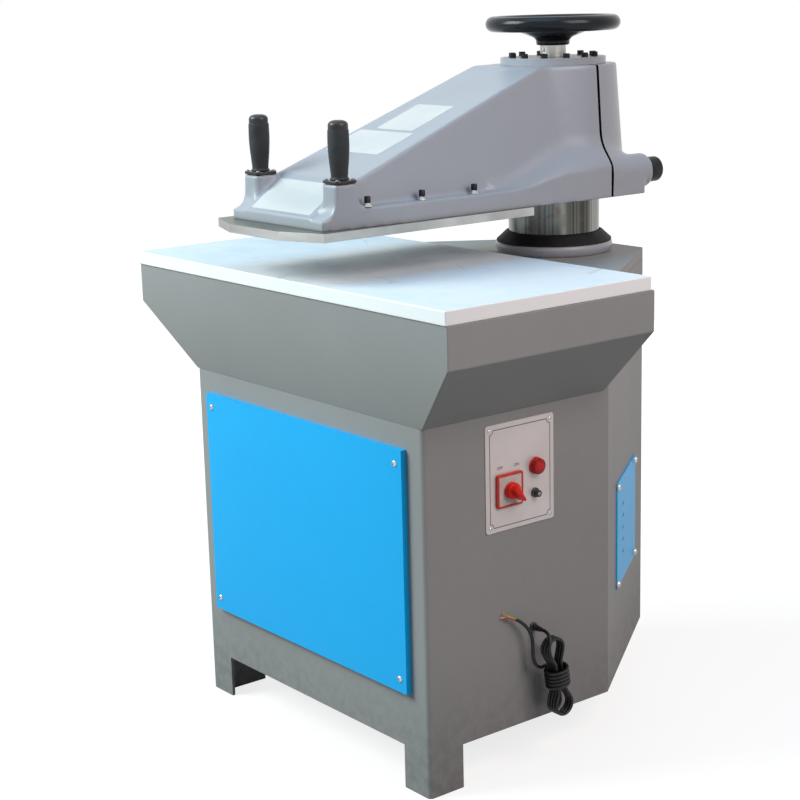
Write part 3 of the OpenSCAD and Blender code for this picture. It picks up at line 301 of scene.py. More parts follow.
# Platen steel: its top edge is darker, painted shade against the arm
platenSteel = bareSteel({
    "name": "platenSteel", "dark": screen(146, 148, 146), "light": screen(184, 186, 185), "stain": 0.25,
    "stainColour": screen(150, 144, 134), "rough": 0.32, "spread": 0.14, "depth": 0.00003,
    "lines": (14.0, 900.0, 900.0), "broad": (3.0, 12.0, 12.0), "shadedTop": (0.9389, screen(118, 122, 116))})
# Bare iron for the seam faces, darkened near black to paint the shade in the gap between arm and cap
rawIronAndSeamShade = bareSteel({
    "name": "rawIronAndSeamShade", "dark": screen(24, 23, 22), "light": screen(44, 42, 40), "stain": 0.4,
    "stainColour": screen(50, 38, 30), "rough": 0.6, "spread": 0.2, "depth": 0.0001,
    "lines": (400.0, 400.0, 400.0), "broad": (60.0, 60.0, 60.0)})
dulledZinc = bareSteel({
    "name": "dulledZinc", "dark": screen(92, 93, 94), "light": screen(150, 150, 150), "stain": 0.3,
    "stainColour": screen(90, 84, 76), "rough": 0.30, "spread": 0.14, "depth": 0.00003,
    "lines": (700.0, 700.0, 700.0), "broad": (120.0, 120.0, 120.0)})
turnedSteel = bareSteel({
    "name": "turnedSteel", "dark": screen(120, 117, 112), "light": screen(205, 202, 196), "stain": 0.3,
    "stainColour": screen(150, 128, 108), "rough": 0.20, "spread": 0.10, "depth": 0.00004,
    "lines": (6.0, 6.0, 1400.0), "broad": (26.0, 26.0, 0.6)})
groundSteel = bareSteel({
    "name": "groundSteel", "dark": screen(168, 168, 165), "light": screen(206, 205, 201), "stain": 0.25,
    "stainColour": screen(150, 146, 138), "rough": 0.30, "spread": 0.14, "depth": 0.00003,
    "lines": (14.0, 900.0, 900.0), "broad": (3.0, 12.0, 12.0)})
fastenerSteel = bareSteel({
    "name": "fastenerSteel", "dark": screen(150, 150, 150), "light": screen(205, 205, 203), "stain": 0.2,
    "stainColour": screen(140, 134, 124), "rough": 0.25, "spread": 0.12, "depth": 0.00003,
    "lines": (700.0, 700.0, 700.0), "broad": (120.0, 120.0, 120.0)})
blackSteel = bareSteel({
    "name": "blackSteel", "dark": screen(30, 31, 33), "light": screen(52, 53, 56), "stain": 0.3,
    "stainColour": screen(66, 62, 58), "rough": 0.38, "spread": 0.12, "depth": 0.00004,
    "lines": (500.0, 500.0, 500.0), "broad": (60.0, 60.0, 60.0)})
turnedBronze = bareSteel({
    "name": "turnedBronze", "dark": screen(150, 112, 58), "light": screen(204, 164, 96), "stain": 0.3,
    "stainColour": screen(110, 84, 52), "rough": 0.26, "spread": 0.12, "depth": 0.00004,
    "lines": (8.0, 8.0, 1200.0), "broad": (30.0, 30.0, 30.0)})
bareCopper = bareSteel({
    "name": "bareCopper", "dark": screen(160, 92, 60), "light": screen(222, 150, 110), "stain": 0.2,
    "stainColour": screen(120, 70, 48), "rough": 0.24, "spread": 0.1, "depth": 0.00005,
    "lines": (2500.0, 300.0, 2500.0), "broad": (200.0, 200.0, 200.0)})


# Moulded rubber and plastic: fine pores, handled patches, light dust

mouldedLook = {
    "coatRough": 0.08, "pores": (3.0, 0.6), "patch": (3.0, 0.55), "patchSpan": (0.38, 0.66),
    "patchShare": 0.8, "poreShare": 0.2, "poreRough": 0.05, "coatLoss": 0.4,
}


def moulded(s):
    m = mouldedLook
    fixed = {"Specular IOR Level": s["gloss"], "Coat Roughness": m["coatRough"]}
    finish, shader, place = newFinish(s["name"], fixed)
    pores = place.noise(s["pores"], *m["pores"])
    patch = place.noise(s["patch"], *m["patch"]).between(*m["patchSpan"])
    feed(shader, {
        "Base Color": (patch*m["patchShare"] + pores*m["poreShare"]).mix(s["colour"], s["worn"]),
        "Roughness": s["rough"] + patch*s["spread"] + pores*m["poreRough"],
        "Normal": pores.bump(s["depth"]),
    })
    if s["coat"] > 0:
        feed(shader, {"Coat Weight": s["coat"]*(1 - patch*m["coatLoss"])})
    return finish


gripRubber = moulded({
    "name": "gripRubber", "colour": screen(36, 38, 40), "worn": screen(50, 52, 54), "rough": 0.42,
    "spread": 0.14, "gloss": 0.25, "coat": 0.0, "pores": 900.0, "patch": 38.0, "depth": 0.00025})
skirtRubber = moulded({
    "name": "skirtRubber", "colour": screen(20, 20, 21), "worn": screen(34, 34, 35), "rough": 0.55,
    "spread": 0.16, "gloss": 0.2, "coat": 0.0, "pores": 400.0, "patch": 22.0, "depth": 0.0004})
cordSheath = moulded({
    "name": "cordSheath", "colour": screen(14, 15, 17), "worn": screen(28, 30, 32), "rough": 0.34,
    "spread": 0.16, "gloss": 0.25, "coat": 0.05, "pores": 700.0, "patch": 60.0, "depth": 0.0001})
wheelGloss = moulded({
    "name": "wheelGloss", "colour": screen(14, 18, 24), "worn": screen(22, 28, 36), "rough": 0.15,
    "spread": 0.06, "gloss": 0.22, "coat": 0.0, "pores": 260.0, "patch": 14.0, "depth": 0.00008})
plateGloss = moulded({
    "name": "plateGloss", "colour": screen(18, 19, 22), "worn": screen(26, 27, 30), "rough": 0.16,
    "spread": 0.10, "gloss": 0.35, "coat": 0.2, "pores": 600.0, "patch": 60.0, "depth": 0.00006})
blackPlastic = moulded({
    "name": "blackPlastic", "colour": screen(20, 21, 24), "worn": screen(38, 39, 43), "rough": 0.28,
    "spread": 0.12, "gloss": 0.35, "coat": 0.15, "pores": 600.0, "patch": 60.0, "depth": 0.0001})
redPlastic = moulded({
    "name": "redPlastic", "colour": screen(232, 22, 12), "worn": screen(240, 44, 28), "rough": 0.3,
    "spread": 0.1, "gloss": 0.2, "coat": 0.06, "pores": 500.0, "patch": 80.0, "depth": 0.00008})
frameRed = moulded({
    "name": "frameRed", "colour": screen(194, 46, 40), "worn": screen(206, 62, 54), "rough": 0.3,
    "spread": 0.1, "gloss": 0.3, "coat": 0.1, "pores": 500.0, "patch": 80.0, "depth": 0.00008})
paleFace = moulded({
    "name": "paleFace", "colour": screen(206, 198, 192), "worn": screen(196, 186, 180), "rough": 0.36,
    "spread": 0.1, "gloss": 0.45, "coat": 0.1, "pores": 500.0, "patch": 60.0, "depth": 0.00006})
blankVinyl = moulded({
    "name": "blankVinyl", "colour": screen(203, 203, 200), "worn": screen(195, 197, 196), "rough": 0.34,
    "spread": 0.12, "gloss": 0.5, "coat": 0.3, "pores": 300.0, "patch": 18.0, "depth": 0.00006})
inkBlack = moulded({
    "name": "inkBlack", "colour": screen(52, 50, 50), "worn": screen(70, 68, 66), "rough": 0.5,
    "spread": 0.1, "gloss": 0.3, "coat": 0.0, "pores": 900.0, "patch": 200.0, "depth": 0.00002})
coreYellow = moulded({
    "name": "coreYellow", "colour": screen(214, 206, 66), "worn": screen(196, 188, 60), "rough": 0.4,
    "spread": 0.1, "gloss": 0.4, "coat": 0.1, "pores": 900.0, "patch": 90.0, "depth": 0.00005})
coreGreen = moulded({
    "name": "coreGreen", "colour": screen(62, 128, 58), "worn": screen(70, 138, 64), "rough": 0.4,
    "spread": 0.1, "gloss": 0.4, "coat": 0.1, "pores": 900.0, "patch": 90.0, "depth": 0.00005})
coreRed = moulded({
    "name": "coreRed", "colour": screen(170, 52, 44), "worn": screen(184, 70, 60), "rough": 0.4,
    "spread": 0.1, "gloss": 0.4, "coat": 0.1, "pores": 900.0, "patch": 90.0, "depth": 0.00005})


# Lens of the lamp: moulded rings about its own axis, and a painted glow that lightens its middle

def ringedLens(s):
    fixed = {"Specular IOR Level": s["gloss"], "Coat Weight": s["coat"]}
    finish, shader, place = newFinish("ringedLens", fixed)
    away = place.axis(1) - s["middle"][0]
    rise = place.axis(2) - s["middle"][1]
    radius = place.maths("SQRT", away*away + rise*rise)
    rings = place.maths("SINE", radius*s["pitch"])
    # Painted glow: the base colour grows brighter towards the lens's middle
    paintedGlow = radius.between(0.0, s["radius"], 1.0, 0.0)
    feed(shader, {
        "Base Color": (paintedGlow*s["paintedGlow"] + rings*s["ringTint"] + s["least"]).mix(s["edge"], s["paintedGlowColour"]),
        "Roughness": s["rough"] + place.noise(s["grain"])*s["grainRough"],
        "Normal": (rings + place.noise(s["pits"])*s["pitShare"]).bump(s["depth"]),
    })
    return finish


lampLens = ringedLens({
    "middle": (-0.360, 0.534), "radius": 0.0145, "pitch": 2800.0, "edge": screen(144, 6, 14),
    "paintedGlowColour": screen(224, 16, 26), "gloss": 0.15, "coat": 0.04, "paintedGlow": 0.6, "ringTint": 0.08, "least": 0.2,
    "rough": 0.2, "grain": 300.0, "grainRough": 0.1, "pits": 500.0, "pitShare": 0.2, "depth": 0.0002})


# Control face: brushed pale metal with one thin printed border, notched round the screws

def brushedFace(s):
    finish, shader, place = newFinish("brushedFace", {"Specular IOR Level": s["gloss"]})
    across = abs(place.axis(1) - s["middle"][0])
    up = abs(place.axis(2) - s["middle"][1])
    box = place.maths("MAXIMUM", across - s["half"][0], up - s["half"][1])
    fromScrewX = across - s["screw"][0]
    fromScrewZ = up - s["screw"][1]
    toScrew = place.maths("SQRT", fromScrewX*fromScrewX + fromScrewZ*fromScrewZ)
    outline = place.maths("MAXIMUM", box, s["notch"] - toScrew)
    solid, clear = s["fade"]
    line = abs(outline).between(s["line"]*solid, s["line"]*clear, 1.0, 0.0)
    brushed = place.noise(1.0, *s["brush"])
    patch = place.noise(*s["patches"]).between(*s["patchSpan"])
    metal = (brushed*s["brushShare"] + patch*s["patchShare"]).mix(s["dark"], s["light"])
    feed(shader, {
        "Base Color": (line*s["inkShare"]).mix(metal, s["ink"]),
        "Metallic": s["metal"] - line*s["metal"],
        "Roughness": s["rough"] + brushed*s["brushRough"] + line*s["inkRough"],
        "Normal": brushed.bump(s["depth"]),
    })
    return finish


controlFace = brushedFace({
    "middle": (-0.3945, 0.5265), "half": (0.0675, 0.0838), "screw": (0.0675, 0.0835), "notch": 0.0075,
    "line": 0.0013, "fade": (0.5, 0.8), "dark": screen(198, 190, 189), "light": screen(211, 204, 203),
    "ink": screen(56, 53, 53), "inkShare": 0.8, "gloss": 0.5, "metal": 0.25, "rough": 0.36, "inkRough": 0.15,
    "brush": (3.0, 0.6, (900.0, 12.0, 900.0)), "brushShare": 0.5, "brushRough": 0.12, "depth": 0.00003,
    "patches": (14.0, 3.0), "patchSpan": (0.35, 0.7), "patchShare": 0.5})
print("finishes made:", len(bpy.data.materials))


# Making and placing pieces

makeForm = {"weld": 1e-6, "onAxis": 1e-6, "cornerShare": 0.48, "cornerSteps": 3}


def newPiece(name, mesh, body, slot, *replaced):
    piece = bpy.data.objects.new(name, mesh)
    bpy.context.scene.collection.objects.link(piece)
    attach(piece, body)
    if replaced:
        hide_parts(*replaced)
    return piece


def meshOf(name, bm, finishes, sharpest=38.0):
    mesh = bpy.data.meshes.new(name)
    bm.to_mesh(mesh)
    bm.free()
    for finish in finishes:
        mesh.materials.append(finish)
    mesh.shade_smooth()
    mesh.set_sharp_from_angle(angle=math.radians(sharpest))
    return mesh


# The mesh that an object shows once its modifiers or its text are worked out
def shownMesh(maker):
    bpy.context.view_layer.update()
    shown = maker.evaluated_get(bpy.context.evaluated_depsgraph_get())
    return bpy.data.meshes.new_from_object(shown)


# Closes a turned ring where its profile comes back to its start
def closeSeam(bm):
    bmesh.ops.remove_doubles(bm, verts=bm.verts, dist=makeForm["weld"])
    bmesh.ops.recalc_face_normals(bm, faces=bm.faces)


# Rounds the inner corners of a profile with short curves
def softened(points, radius, steps=4):
    rounded = [Vector(points[0])]
    share = makeForm["cornerShare"]
    for before, corner, after in zip(points, points[1:], points[2:]):
        before, corner, after = Vector(before), Vector(corner), Vector(after)
        reach = min(radius, (before - corner).length*share, (after - corner).length*share)
        start = corner + (before - corner).normalized()*reach
        end = corner + (after - corner).normalized()*reach
        for i in range(steps + 1):
            t = i/steps
            rounded.append(start*(1 - t)**2 + corner*2*t*(1 - t) + end*t*t)
    rounded.append(Vector(points[-1]))
    return rounded


# Turns a profile of (radius, height), in mm, about Z, then puts it in place
def lathe(profile, steps, place):
    bm = bmesh.new()
    rings = []
    for radius, height in profile:
        if radius < makeForm["onAxis"]:
            rings.append([bm.verts.new((0, 0, height/1000))])
            continue
        ring = []
        for i in range(steps):
            a = 2*math.pi*i/steps
            ring.append(bm.verts.new((radius*math.cos(a)/1000, radius*math.sin(a)/1000, height/1000)))
        rings.append(ring)
    for low, high in zip(rings, rings[1:]):
        for i in range(steps):
            j = (i + 1) % steps
            corners = [low[i % len(low)], low[j % len(low)], high[j % len(high)], high[i % len(high)]]
            face = list(dict.fromkeys(corners))
            if len(face) > 2:
                bm.faces.new(face)
    bmesh.ops.recalc_face_normals(bm, faces=bm.faces)
    bm.transform(place)
    return bm


# Places a piece turned about Z so that its axis points along +X
def alongX(x, y, z):
    return Matrix.Translation((x/1000, y/1000, z/1000)) @ Matrix.Rotation(math.pi/2, 4, "Y")


def upright(x, y, z):
    return Matrix.Translation((x/1000, y/1000, z/1000))


# Turns a profile with soft corners and makes a piece of it
def turnedPiece(name, profile, s, place, finish, body, slot, *replaced):
    rounded = [tuple(p) for p in softened(profile, s["soft"], makeForm["cornerSteps"])]
    mesh = meshOf(name, lathe(rounded, s["steps"], place), [finish], s["sharp"])
    newPiece(name, mesh, body, slot, *replaced)


# Power cord: out of its gland, down into a hank, round the waist and up to a bare end

cordSizes = {
    "diameter": 6.0, "side": 332.5, "glandY": -367.0, "glandZ": 248.0, "pitch": 6.5, "foldRadius": 18.3,
    "waist": 8.0, "runs": 4, "wraps": 5, "wrapRadius": 19.3, "wrapStep": 6.6, "drawIn": 31.0, "waistPad": 4.0,
    "ringsPerWrap": 24, "tilt": 8.0, "out": 42.0, "hankY": -350.0, "hankZ": 166.0, "runSteps": 8,
    "foldSteps": 6, "bendSteps": 4, "smoothing": 4, "closest": 0.5, "roundness": 4, "bare": 34.0,
    "lead": [(21, 0, 0), (28, 0, 0), (37.2, -1, -1.8), (45, -3.3, -7), (50.2, -6.3, -14.8)],
    "tail": [(22.7, -3, -67), (22.7, -12, -62), (22.7, -18, -53), (22.7, -20.5, -41), (22.5, -21, -28),
             (21.8, -21, -16), (20.2, -23, -3), (17.6, -29, 9.5), (14, -39, 20.5), (9.8, -52, 29.5),
             (5.8, -66, 36.5), (3.3, -80, 42.5)],
}


def hankRoute(s):
    wrapHeight = s["wraps"]*s["wrapStep"]
    foldUp = wrapHeight/2 + s["waistPad"] + s["drawIn"]
    fold = s["foldRadius"]
    wrap = s["wrapRadius"]
    layer = [((s["runs"] - 1)/2 - i)*s["pitch"] for i in range(s["runs"])]

    def half(h):
        k = min(1.0, max(0.0, (abs(h) - wrapHeight/2 - s["waistPad"])/s["drawIn"]))
        return s["waist"] + (fold - s["waist"])*(1 - math.cos(math.pi*k))/2

    def run(side, down, x0, x1):
        points = []
        for i in range(s["runSteps"] + 1):
            k = i/s["runSteps"]
            h = (1 - 2*k if down else 2*k - 1)*foldUp
            points.append((x0 + (x1 - x0)*(1 - math.cos(math.pi*k))/2, side*half(h), h))
        return points

    def turn(top, x0, x1):
        points = []
        sign = 1 if top else -1
        for i in range(1, s["foldSteps"]):
            k = i/s["foldSteps"]
            a = math.pi*k
            points.append((x0 + (x1 - x0)*k, sign*fold*math.cos(a), sign*(foldUp + fold*math.sin(a))))
        return points

    route = [(layer[0], -fold, foldUp + s["diameter"])]
    for i in range(s["runs"]):
        last = i == s["runs"] - 1
        route += run(-1, True, layer[i], layer[i])
        route += turn(False, layer[i], -wrap if last else layer[i])
        if not last:
            route += run(1, False, layer[i], layer[i + 1])
            route += turn(True, layer[i + 1], layer[i + 1])
    route.append((-wrap, fold, -foldUp))
    for i in range(s["bendSteps"] + 1):
        a = math.pi/2*i/s["bendSteps"]
        route.append((-wrap, fold*math.cos(a), -wrapHeight/2 - fold + fold*math.sin(a)))
    for i in range(1, s["wraps"]*s["ringsPerWrap"] + 1):
        a = 2*math.pi*i/s["ringsPerWrap"]
        rise = -wrapHeight/2 + s["wrapStep"]*i/s["ringsPerWrap"]
        route.append((-wrap*math.cos(a), -wrap*math.sin(a), rise))
    route.append((-wrap, -s["diameter"], wrapHeight/2))
    c = math.cos(math.radians(s["tilt"]))
    n = math.sin(math.radians(s["tilt"]))
    out = s["side"] + s["out"]
    return [Vector((out + x, s["hankY"] + y*c - z*n, s["hankZ"] + y*n + z*c)) for x, y, z in route]


# A smooth curve through the points, evenly paced where they are uneven
def smoothRoute(points, steps, closest):
    kept = [points[0]]
    for p in points[1:]:
        if (p - kept[-1]).length > closest:
            kept.append(p)
    ends = [2*kept[0] - kept[1], *kept, 2*kept[-1] - kept[-2]]
    route = []
    for p0, p1, p2, p3 in zip(ends, ends[1:], ends[2:], ends[3:]):
        t0 = 0.0
        t1 = t0 + (p1 - p0).length**0.5
        t2 = t1 + (p2 - p1).length**0.5
        t3 = t2 + (p3 - p2).length**0.5
        for i in range(steps):
            t = t1 + (t2 - t1)*i/steps
            a1 = p0*((t1 - t)/(t1 - t0)) + p1*((t - t0)/(t1 - t0))
            a2 = p1*((t2 - t)/(t2 - t1)) + p2*((t - t1)/(t2 - t1))
            a3 = p2*((t3 - t)/(t3 - t2)) + p3*((t - t2)/(t3 - t2))
            b1 = a1*((t2 - t)/(t2 - t0)) + a2*((t - t0)/(t2 - t0))
            b2 = a2*((t3 - t)/(t3 - t1)) + a3*((t - t1)/(t3 - t1))
            route.append(b1*((t2 - t)/(t2 - t1)) + b2*((t - t1)/(t2 - t1)))
    route.append(kept[-1])
    return route


# A tube with closed ends along a route in metres; each side takes the finish that sideFinish gives
def tubeAlong(route, radius, sides, sideFinish):
    bm = bmesh.new()
    rings = []
    normal = Vector((0, 0, 1))
    for i, point in enumerate(route):
        ahead = (route[min(i + 1, len(route) - 1)] - route[max(i - 1, 0)]).normalized()
        normal = (normal - ahead*normal.dot(ahead)).normalized()
        other = ahead.cross(normal)
        ring = []
        for k in range(sides):
            a = 2*math.pi*k/sides
            ring.append(bm.verts.new(point + (normal*math.cos(a) + other*math.sin(a))*radius))
        rings.append(ring)
    for low, high in zip(rings, rings[1:]):
        for k in range(sides):
            j = (k + 1) % sides
            face = bm.faces.new((low[k], low[j], high[j], high[k]))
            face.material_index = sideFinish(k)
    bm.faces.new(list(reversed(rings[0])))
    bm.faces.new(rings[-1])
    bmesh.ops.recalc_face_normals(bm, faces=bm.faces)
    return bm


# Gland of the cord: a collar and ribs that taper towards the lead
glandForm = {
    "steps": 32, "collar": [(0, -1), (8, -1), (8, 2.6), (7.2, 3.4), (6.2, 3.6), (6.0, 5.0)], "ribs": 5,
    "ribStart": 5.4, "ribStep": 2.9, "ribRadius": 5.9, "ribTaper": 0.38,
    "rib": [(0, 0), (0, 1.9), (-0.9, 2.2), (-0.9, 2.7)], "lip": [(4.0, 20.0), (3.9, 21.0), (0, 21.0)],
}


def makeGland(s, place):
    profile = list(s["collar"])
    for i in range(s["ribs"]):
        low = s["ribStart"] + i*s["ribStep"]
        wide = s["ribRadius"] - i*s["ribTaper"]
        profile += [(wide + out, low + up) for out, up in s["rib"]]
    profile += s["lip"]
    mesh = meshOf("cordGland", lathe(profile, s["steps"], place), [blackPlastic])
    newPiece("cordGland", mesh, "base", "black_plastic", "cable_gland")


# Bare cores past the end of the sheath, which part a little, each with a tip of twisted wire
coreForm = {
    "steps": 8, "radius": 0.0013, "parting": 0.0010, "hidden": 0.004, "length": 0.027, "sides": 12,
    "stripe": 6, "ground": 4, "sharp": 60.0, "tipInside": 0.002, "tipSteps": 4, "tipStep": 0.0022,
    "tipBend": 0.00015, "tipRadius": 0.0009, "tipSides": 10,
}


def makeCores(s, start, end):
    def stripe(k):
        return 0 if k % s["stripe"] < s["ground"] else 1

    aim = (end - start).normalized()
    aside = aim.cross(Vector((1, 0, 0))).normalized()
    made = []
    kinds = (("coreEarth", 1.0, [coreYellow, coreGreen]), ("coreLive", -1.0, [coreRed, coreRed]))
    for name, lean, finishes in kinds:
        line = []
        for i in range(s["steps"] + 1):
            t = i/s["steps"]
            spread = aside*lean*(s["radius"] + s["parting"]*t*t)
            line.append(start + aim*(s["length"]*t - s["hidden"]) + spread)
        mesh = meshOf(name, tubeAlong(line, s["radius"], s["sides"], stripe), finishes, s["sharp"])
        made.append(newPiece(name, mesh, "base", "black_rubber"))
        ahead = (line[-1] - line[-2]).normalized()
        tip = [line[-1] - ahead*s["tipInside"]]
        for i in range(1, s["tipSteps"] + 1):
            tip.append(tip[0] + ahead*s["tipStep"]*i + aside*lean*s["tipBend"]*i*i)
        bm = tubeAlong(tip, s["tipRadius"], s["tipSides"], lambda k: 0)
        mesh = meshOf(name + "Tip", bm, [bareCopper], s["sharp"])
        made.append(newPiece(name + "Tip", mesh, "base", "bright_steel"))
    return made


def makeCord(s):
    def fromGland(p):
        return Vector((s["side"] + p[0], s["glandY"] + p[1], s["glandZ"] + p[2]))

    hank = hankRoute(s)
    drop = hank[0] + (hank[0] - hank[1]).normalized()*s["diameter"]
    points = [fromGland(p) for p in s["lead"]] + [drop] + hank + [fromGland(p) for p in s["tail"]]
    route = [p/1000 for p in smoothRoute(points, s["smoothing"], s["closest"])]
    bareFrom = len(route) - 1
    spare = 0.0
    while spare < s["bare"]/1000:
        spare += (route[bareFrom] - route[bareFrom - 1]).length
        bareFrom -= 1
    sheath = route[:bareFrom + 1]
    length = sum((b - a).length for a, b in zip(sheath, sheath[1:]))
    data = bpy.data.curves.new("powerCord", "CURVE")
    data.dimensions = "3D"
    data.bevel_depth = s["diameter"]/2000
    data.bevel_resolution = s["roundness"]
    data.use_fill_caps = True
    data.materials.append(cordSheath)
    spline = data.splines.new("POLY")
    spline.points.add(len(sheath) - 1)
    for point, place in zip(spline.points, sheath):
        point.co = (*place, 1.0)
    lead = newPiece("powerCord", data, "base", "black_rubber", "cord_lead", "cord_hank", "cord_tail")
    makeGland(glandForm, alongX(s["side"], s["glandY"], s["glandZ"]))
    cores = makeCores(coreForm, route[bareFrom], route[-1])
    print("cord laid: %.3f m" % length)


makeCord(cordSizes)


# Sheet-steel shells: touching solids joined into one skin, its edges broken

skinForm = {"merge": 5e-5, "speck": 2e-4, "flat": 1.0, "bevelSteps": 3, "bevelAngle": 20.0}


def breakEdges(piece, edge, s):
    broken = piece.modifiers.new("brokenEdges", "BEVEL")
    broken.width = edge/1000
    broken.segments = s["bevelSteps"]
    broken.limit_method = "ANGLE"
    broken.angle_limit = math.radians(s["bevelAngle"])
    broken.harden_normals = True


def joinedSkin(name, members, finish, slot, edge, s):
    solids = []
    for member in members:
        bm = bmesh.new()
        bm.from_mesh(nodes[member].data)
        bmesh.ops.remove_doubles(bm, verts=bm.verts, dist=makeForm["weld"])
        mesh = bpy.data.meshes.new(name + "Part")
        bm.to_mesh(mesh)
        bm.free()
        mesh.materials.clear()
        solid = bpy.data.objects.new(name + "Part", mesh)
        bpy.context.scene.collection.objects.link(solid)
        solids.append(solid)
    for other in solids[1:]:
        weld = solids[0].modifiers.new("weld", "BOOLEAN")
        weld.operation = "UNION"
        weld.solver = "EXACT"
        weld.object = other
    whole = shownMesh(solids[0])
    for solid in solids:
        bpy.data.objects.remove(solid)
    bm = bmesh.new()
    bm.from_mesh(whole)
    bpy.data.meshes.remove(whole)
    bmesh.ops.remove_doubles(bm, verts=bm.verts, dist=s["merge"])
    bmesh.ops.dissolve_degenerate(bm, dist=s["speck"], edges=bm.edges)
    bmesh.ops.dissolve_limit(bm, angle_limit=math.radians(s["flat"]), verts=bm.verts, edges=bm.edges)
    piece = newPiece(name, meshOf(name, bm, [finish]), bodyOf[members[0]], slot, *members)
    breakEdges(piece, edge, s)


# Skirt of the table: an upright band over a slanting flare, folded round the front and closed at the back
skirtFold = {
    "edge": 2.0, "front": [(450, -644, 826), (450, -644, 756), (332.5, -602, 636)],
    "back": [(450, -196, 826), (450, -196, 756), (332.5, -196, 636), (332.5, -196, 826)],
    "frontIn": [(444, -638, 826), (444, -638, 758), (332.5, -602, 649)],
    "backIn": [(444, -202, 826), (444, -202, 758.4), (332.5, -202, 644.6), (332.5, -202, 826)],
}


def makeTableSkirt(s):
    bm = bmesh.new()
    halves = []
    for side in (1, -1):
        half = {}
        for key in ("front", "back", "frontIn", "backIn"):
            half[key] = [bm.verts.new((side*x/1000, y/1000, z/1000)) for x, y, z in s[key]]
        a, b, c, d = half["front"], half["back"], half["frontIn"], half["backIn"]
        for face in ((a[0], a[1], b[1], b[0]), (a[1], a[2], b[2], b[1]), (b[0], b[1], b[2], b[3]),
                     (c[0], d[0], d[1], c[1]), (c[1], d[1], d[2], c[2]), (d[0], d[3], d[2], d[1]),
                     (a[0], b[0], b[3], d[3], d[0], c[0]), (a[2], c[2], d[2], d[3], b[3], b[2])):
            bm.faces.new(face)
        halves.append((a, c))
    (a, c), (e, g) = halves
    for face in ((a[0], a[1], e[1], e[0]), (a[1], a[2], e[2], e[1]), (c[0], c[1], g[1], g[0]),
                 (c[1], c[2], g[2], g[1]), (a[0], c[0], g[0], e[0]), (a[2], c[2], g[2], e[2])):
        bm.faces.new(face)
    bmesh.ops.recalc_face_normals(bm, faces=bm.faces)
    mesh = meshOf("tableSkirt", bm, [cabinetEnamel])
    piece = newPiece("tableSkirt", mesh, "base", "cabinet_paint", "skirt_front", "skirt_left", "skirt_right")
    breakEdges(piece, s["edge"], skinForm)


makeTableSkirt(skirtFold)

skins = [
    ("cabinetShell", ["front_panel", "leg_post_left", "leg_post_right", "side_panel_left", "side_panel_right",
                      "wing_panel_left", "wing_panel_right", "rear_panel"],
     cabinetEnamel, "cabinet_paint", 1.4),
    ("tablePlate", ["table_plate"], cabinetEnamel, "cabinet_paint", 0.8),
    ("deckPlate", ["deck_plate"], cabinetEnamel, "cabinet_paint", 1.2),
    ("rearFoot", ["rear_foot"], cabinetEnamel, "cabinet_paint", 3.0),
    ("cuttingBoard", ["cutting_board"], whiteBoard, "board_plastic", 2.2),
    ("frontCover", ["front_cover"], coverEnamel, "cover_paint", 0.9),
    ("ventCover", ["vent_cover"], coverEnamel, "cover_paint", 0.7),
    ("topCap", ["top_cap"], armEnamel, "arm_paint", 1.5),
    ("clampBolts", ["clamp_bolts"], blackSteel, "black_steel", 1.6),
    ("platenPlate", ["platen"], platenSteel, "bright_steel", 1.0),
    ("lockCollar", ["lock_collar"], groundSteel, "bright_steel", 0.8),
    ("controlPlate", ["control_plate"], controlFace, "control_face", 0.5),
]
for name, members, finish, slot, edge in skins:
    joinedSkin(name, members, finish, slot, edge, skinForm)
print("skins joined:", len(skins))

plainNodes = {
    "floor_plate": cabinetEnamel, "column": columnSteelPaintedReflection, "spindle": turnedSteel, "piston_rod": turnedSteel,
    "thrust_bearing": groundSteel, "rod_nut": fastenerSteel, "drive_coupling": turnedSteel,
    "valve_block": groundSteel, "oil_pipes": fastenerSteel, "cylinder_barrel": unitEnamel,
    "cylinder_head": unitEnamel, "oil_tank": unitEnamel, "motor": unitEnamel, "pump": unitEnamel,
    "spindle_nut": turnedBronze,
}
for node, finish in plainNodes.items():
    nodes[node].data.materials.clear()
    nodes[node].data.materials.append(finish)
print("plain nodes finished:", len(plainNodes))


# Cast arm and clamp cap: one smooth field of distances, in mm, with foundry fillets where forms meet

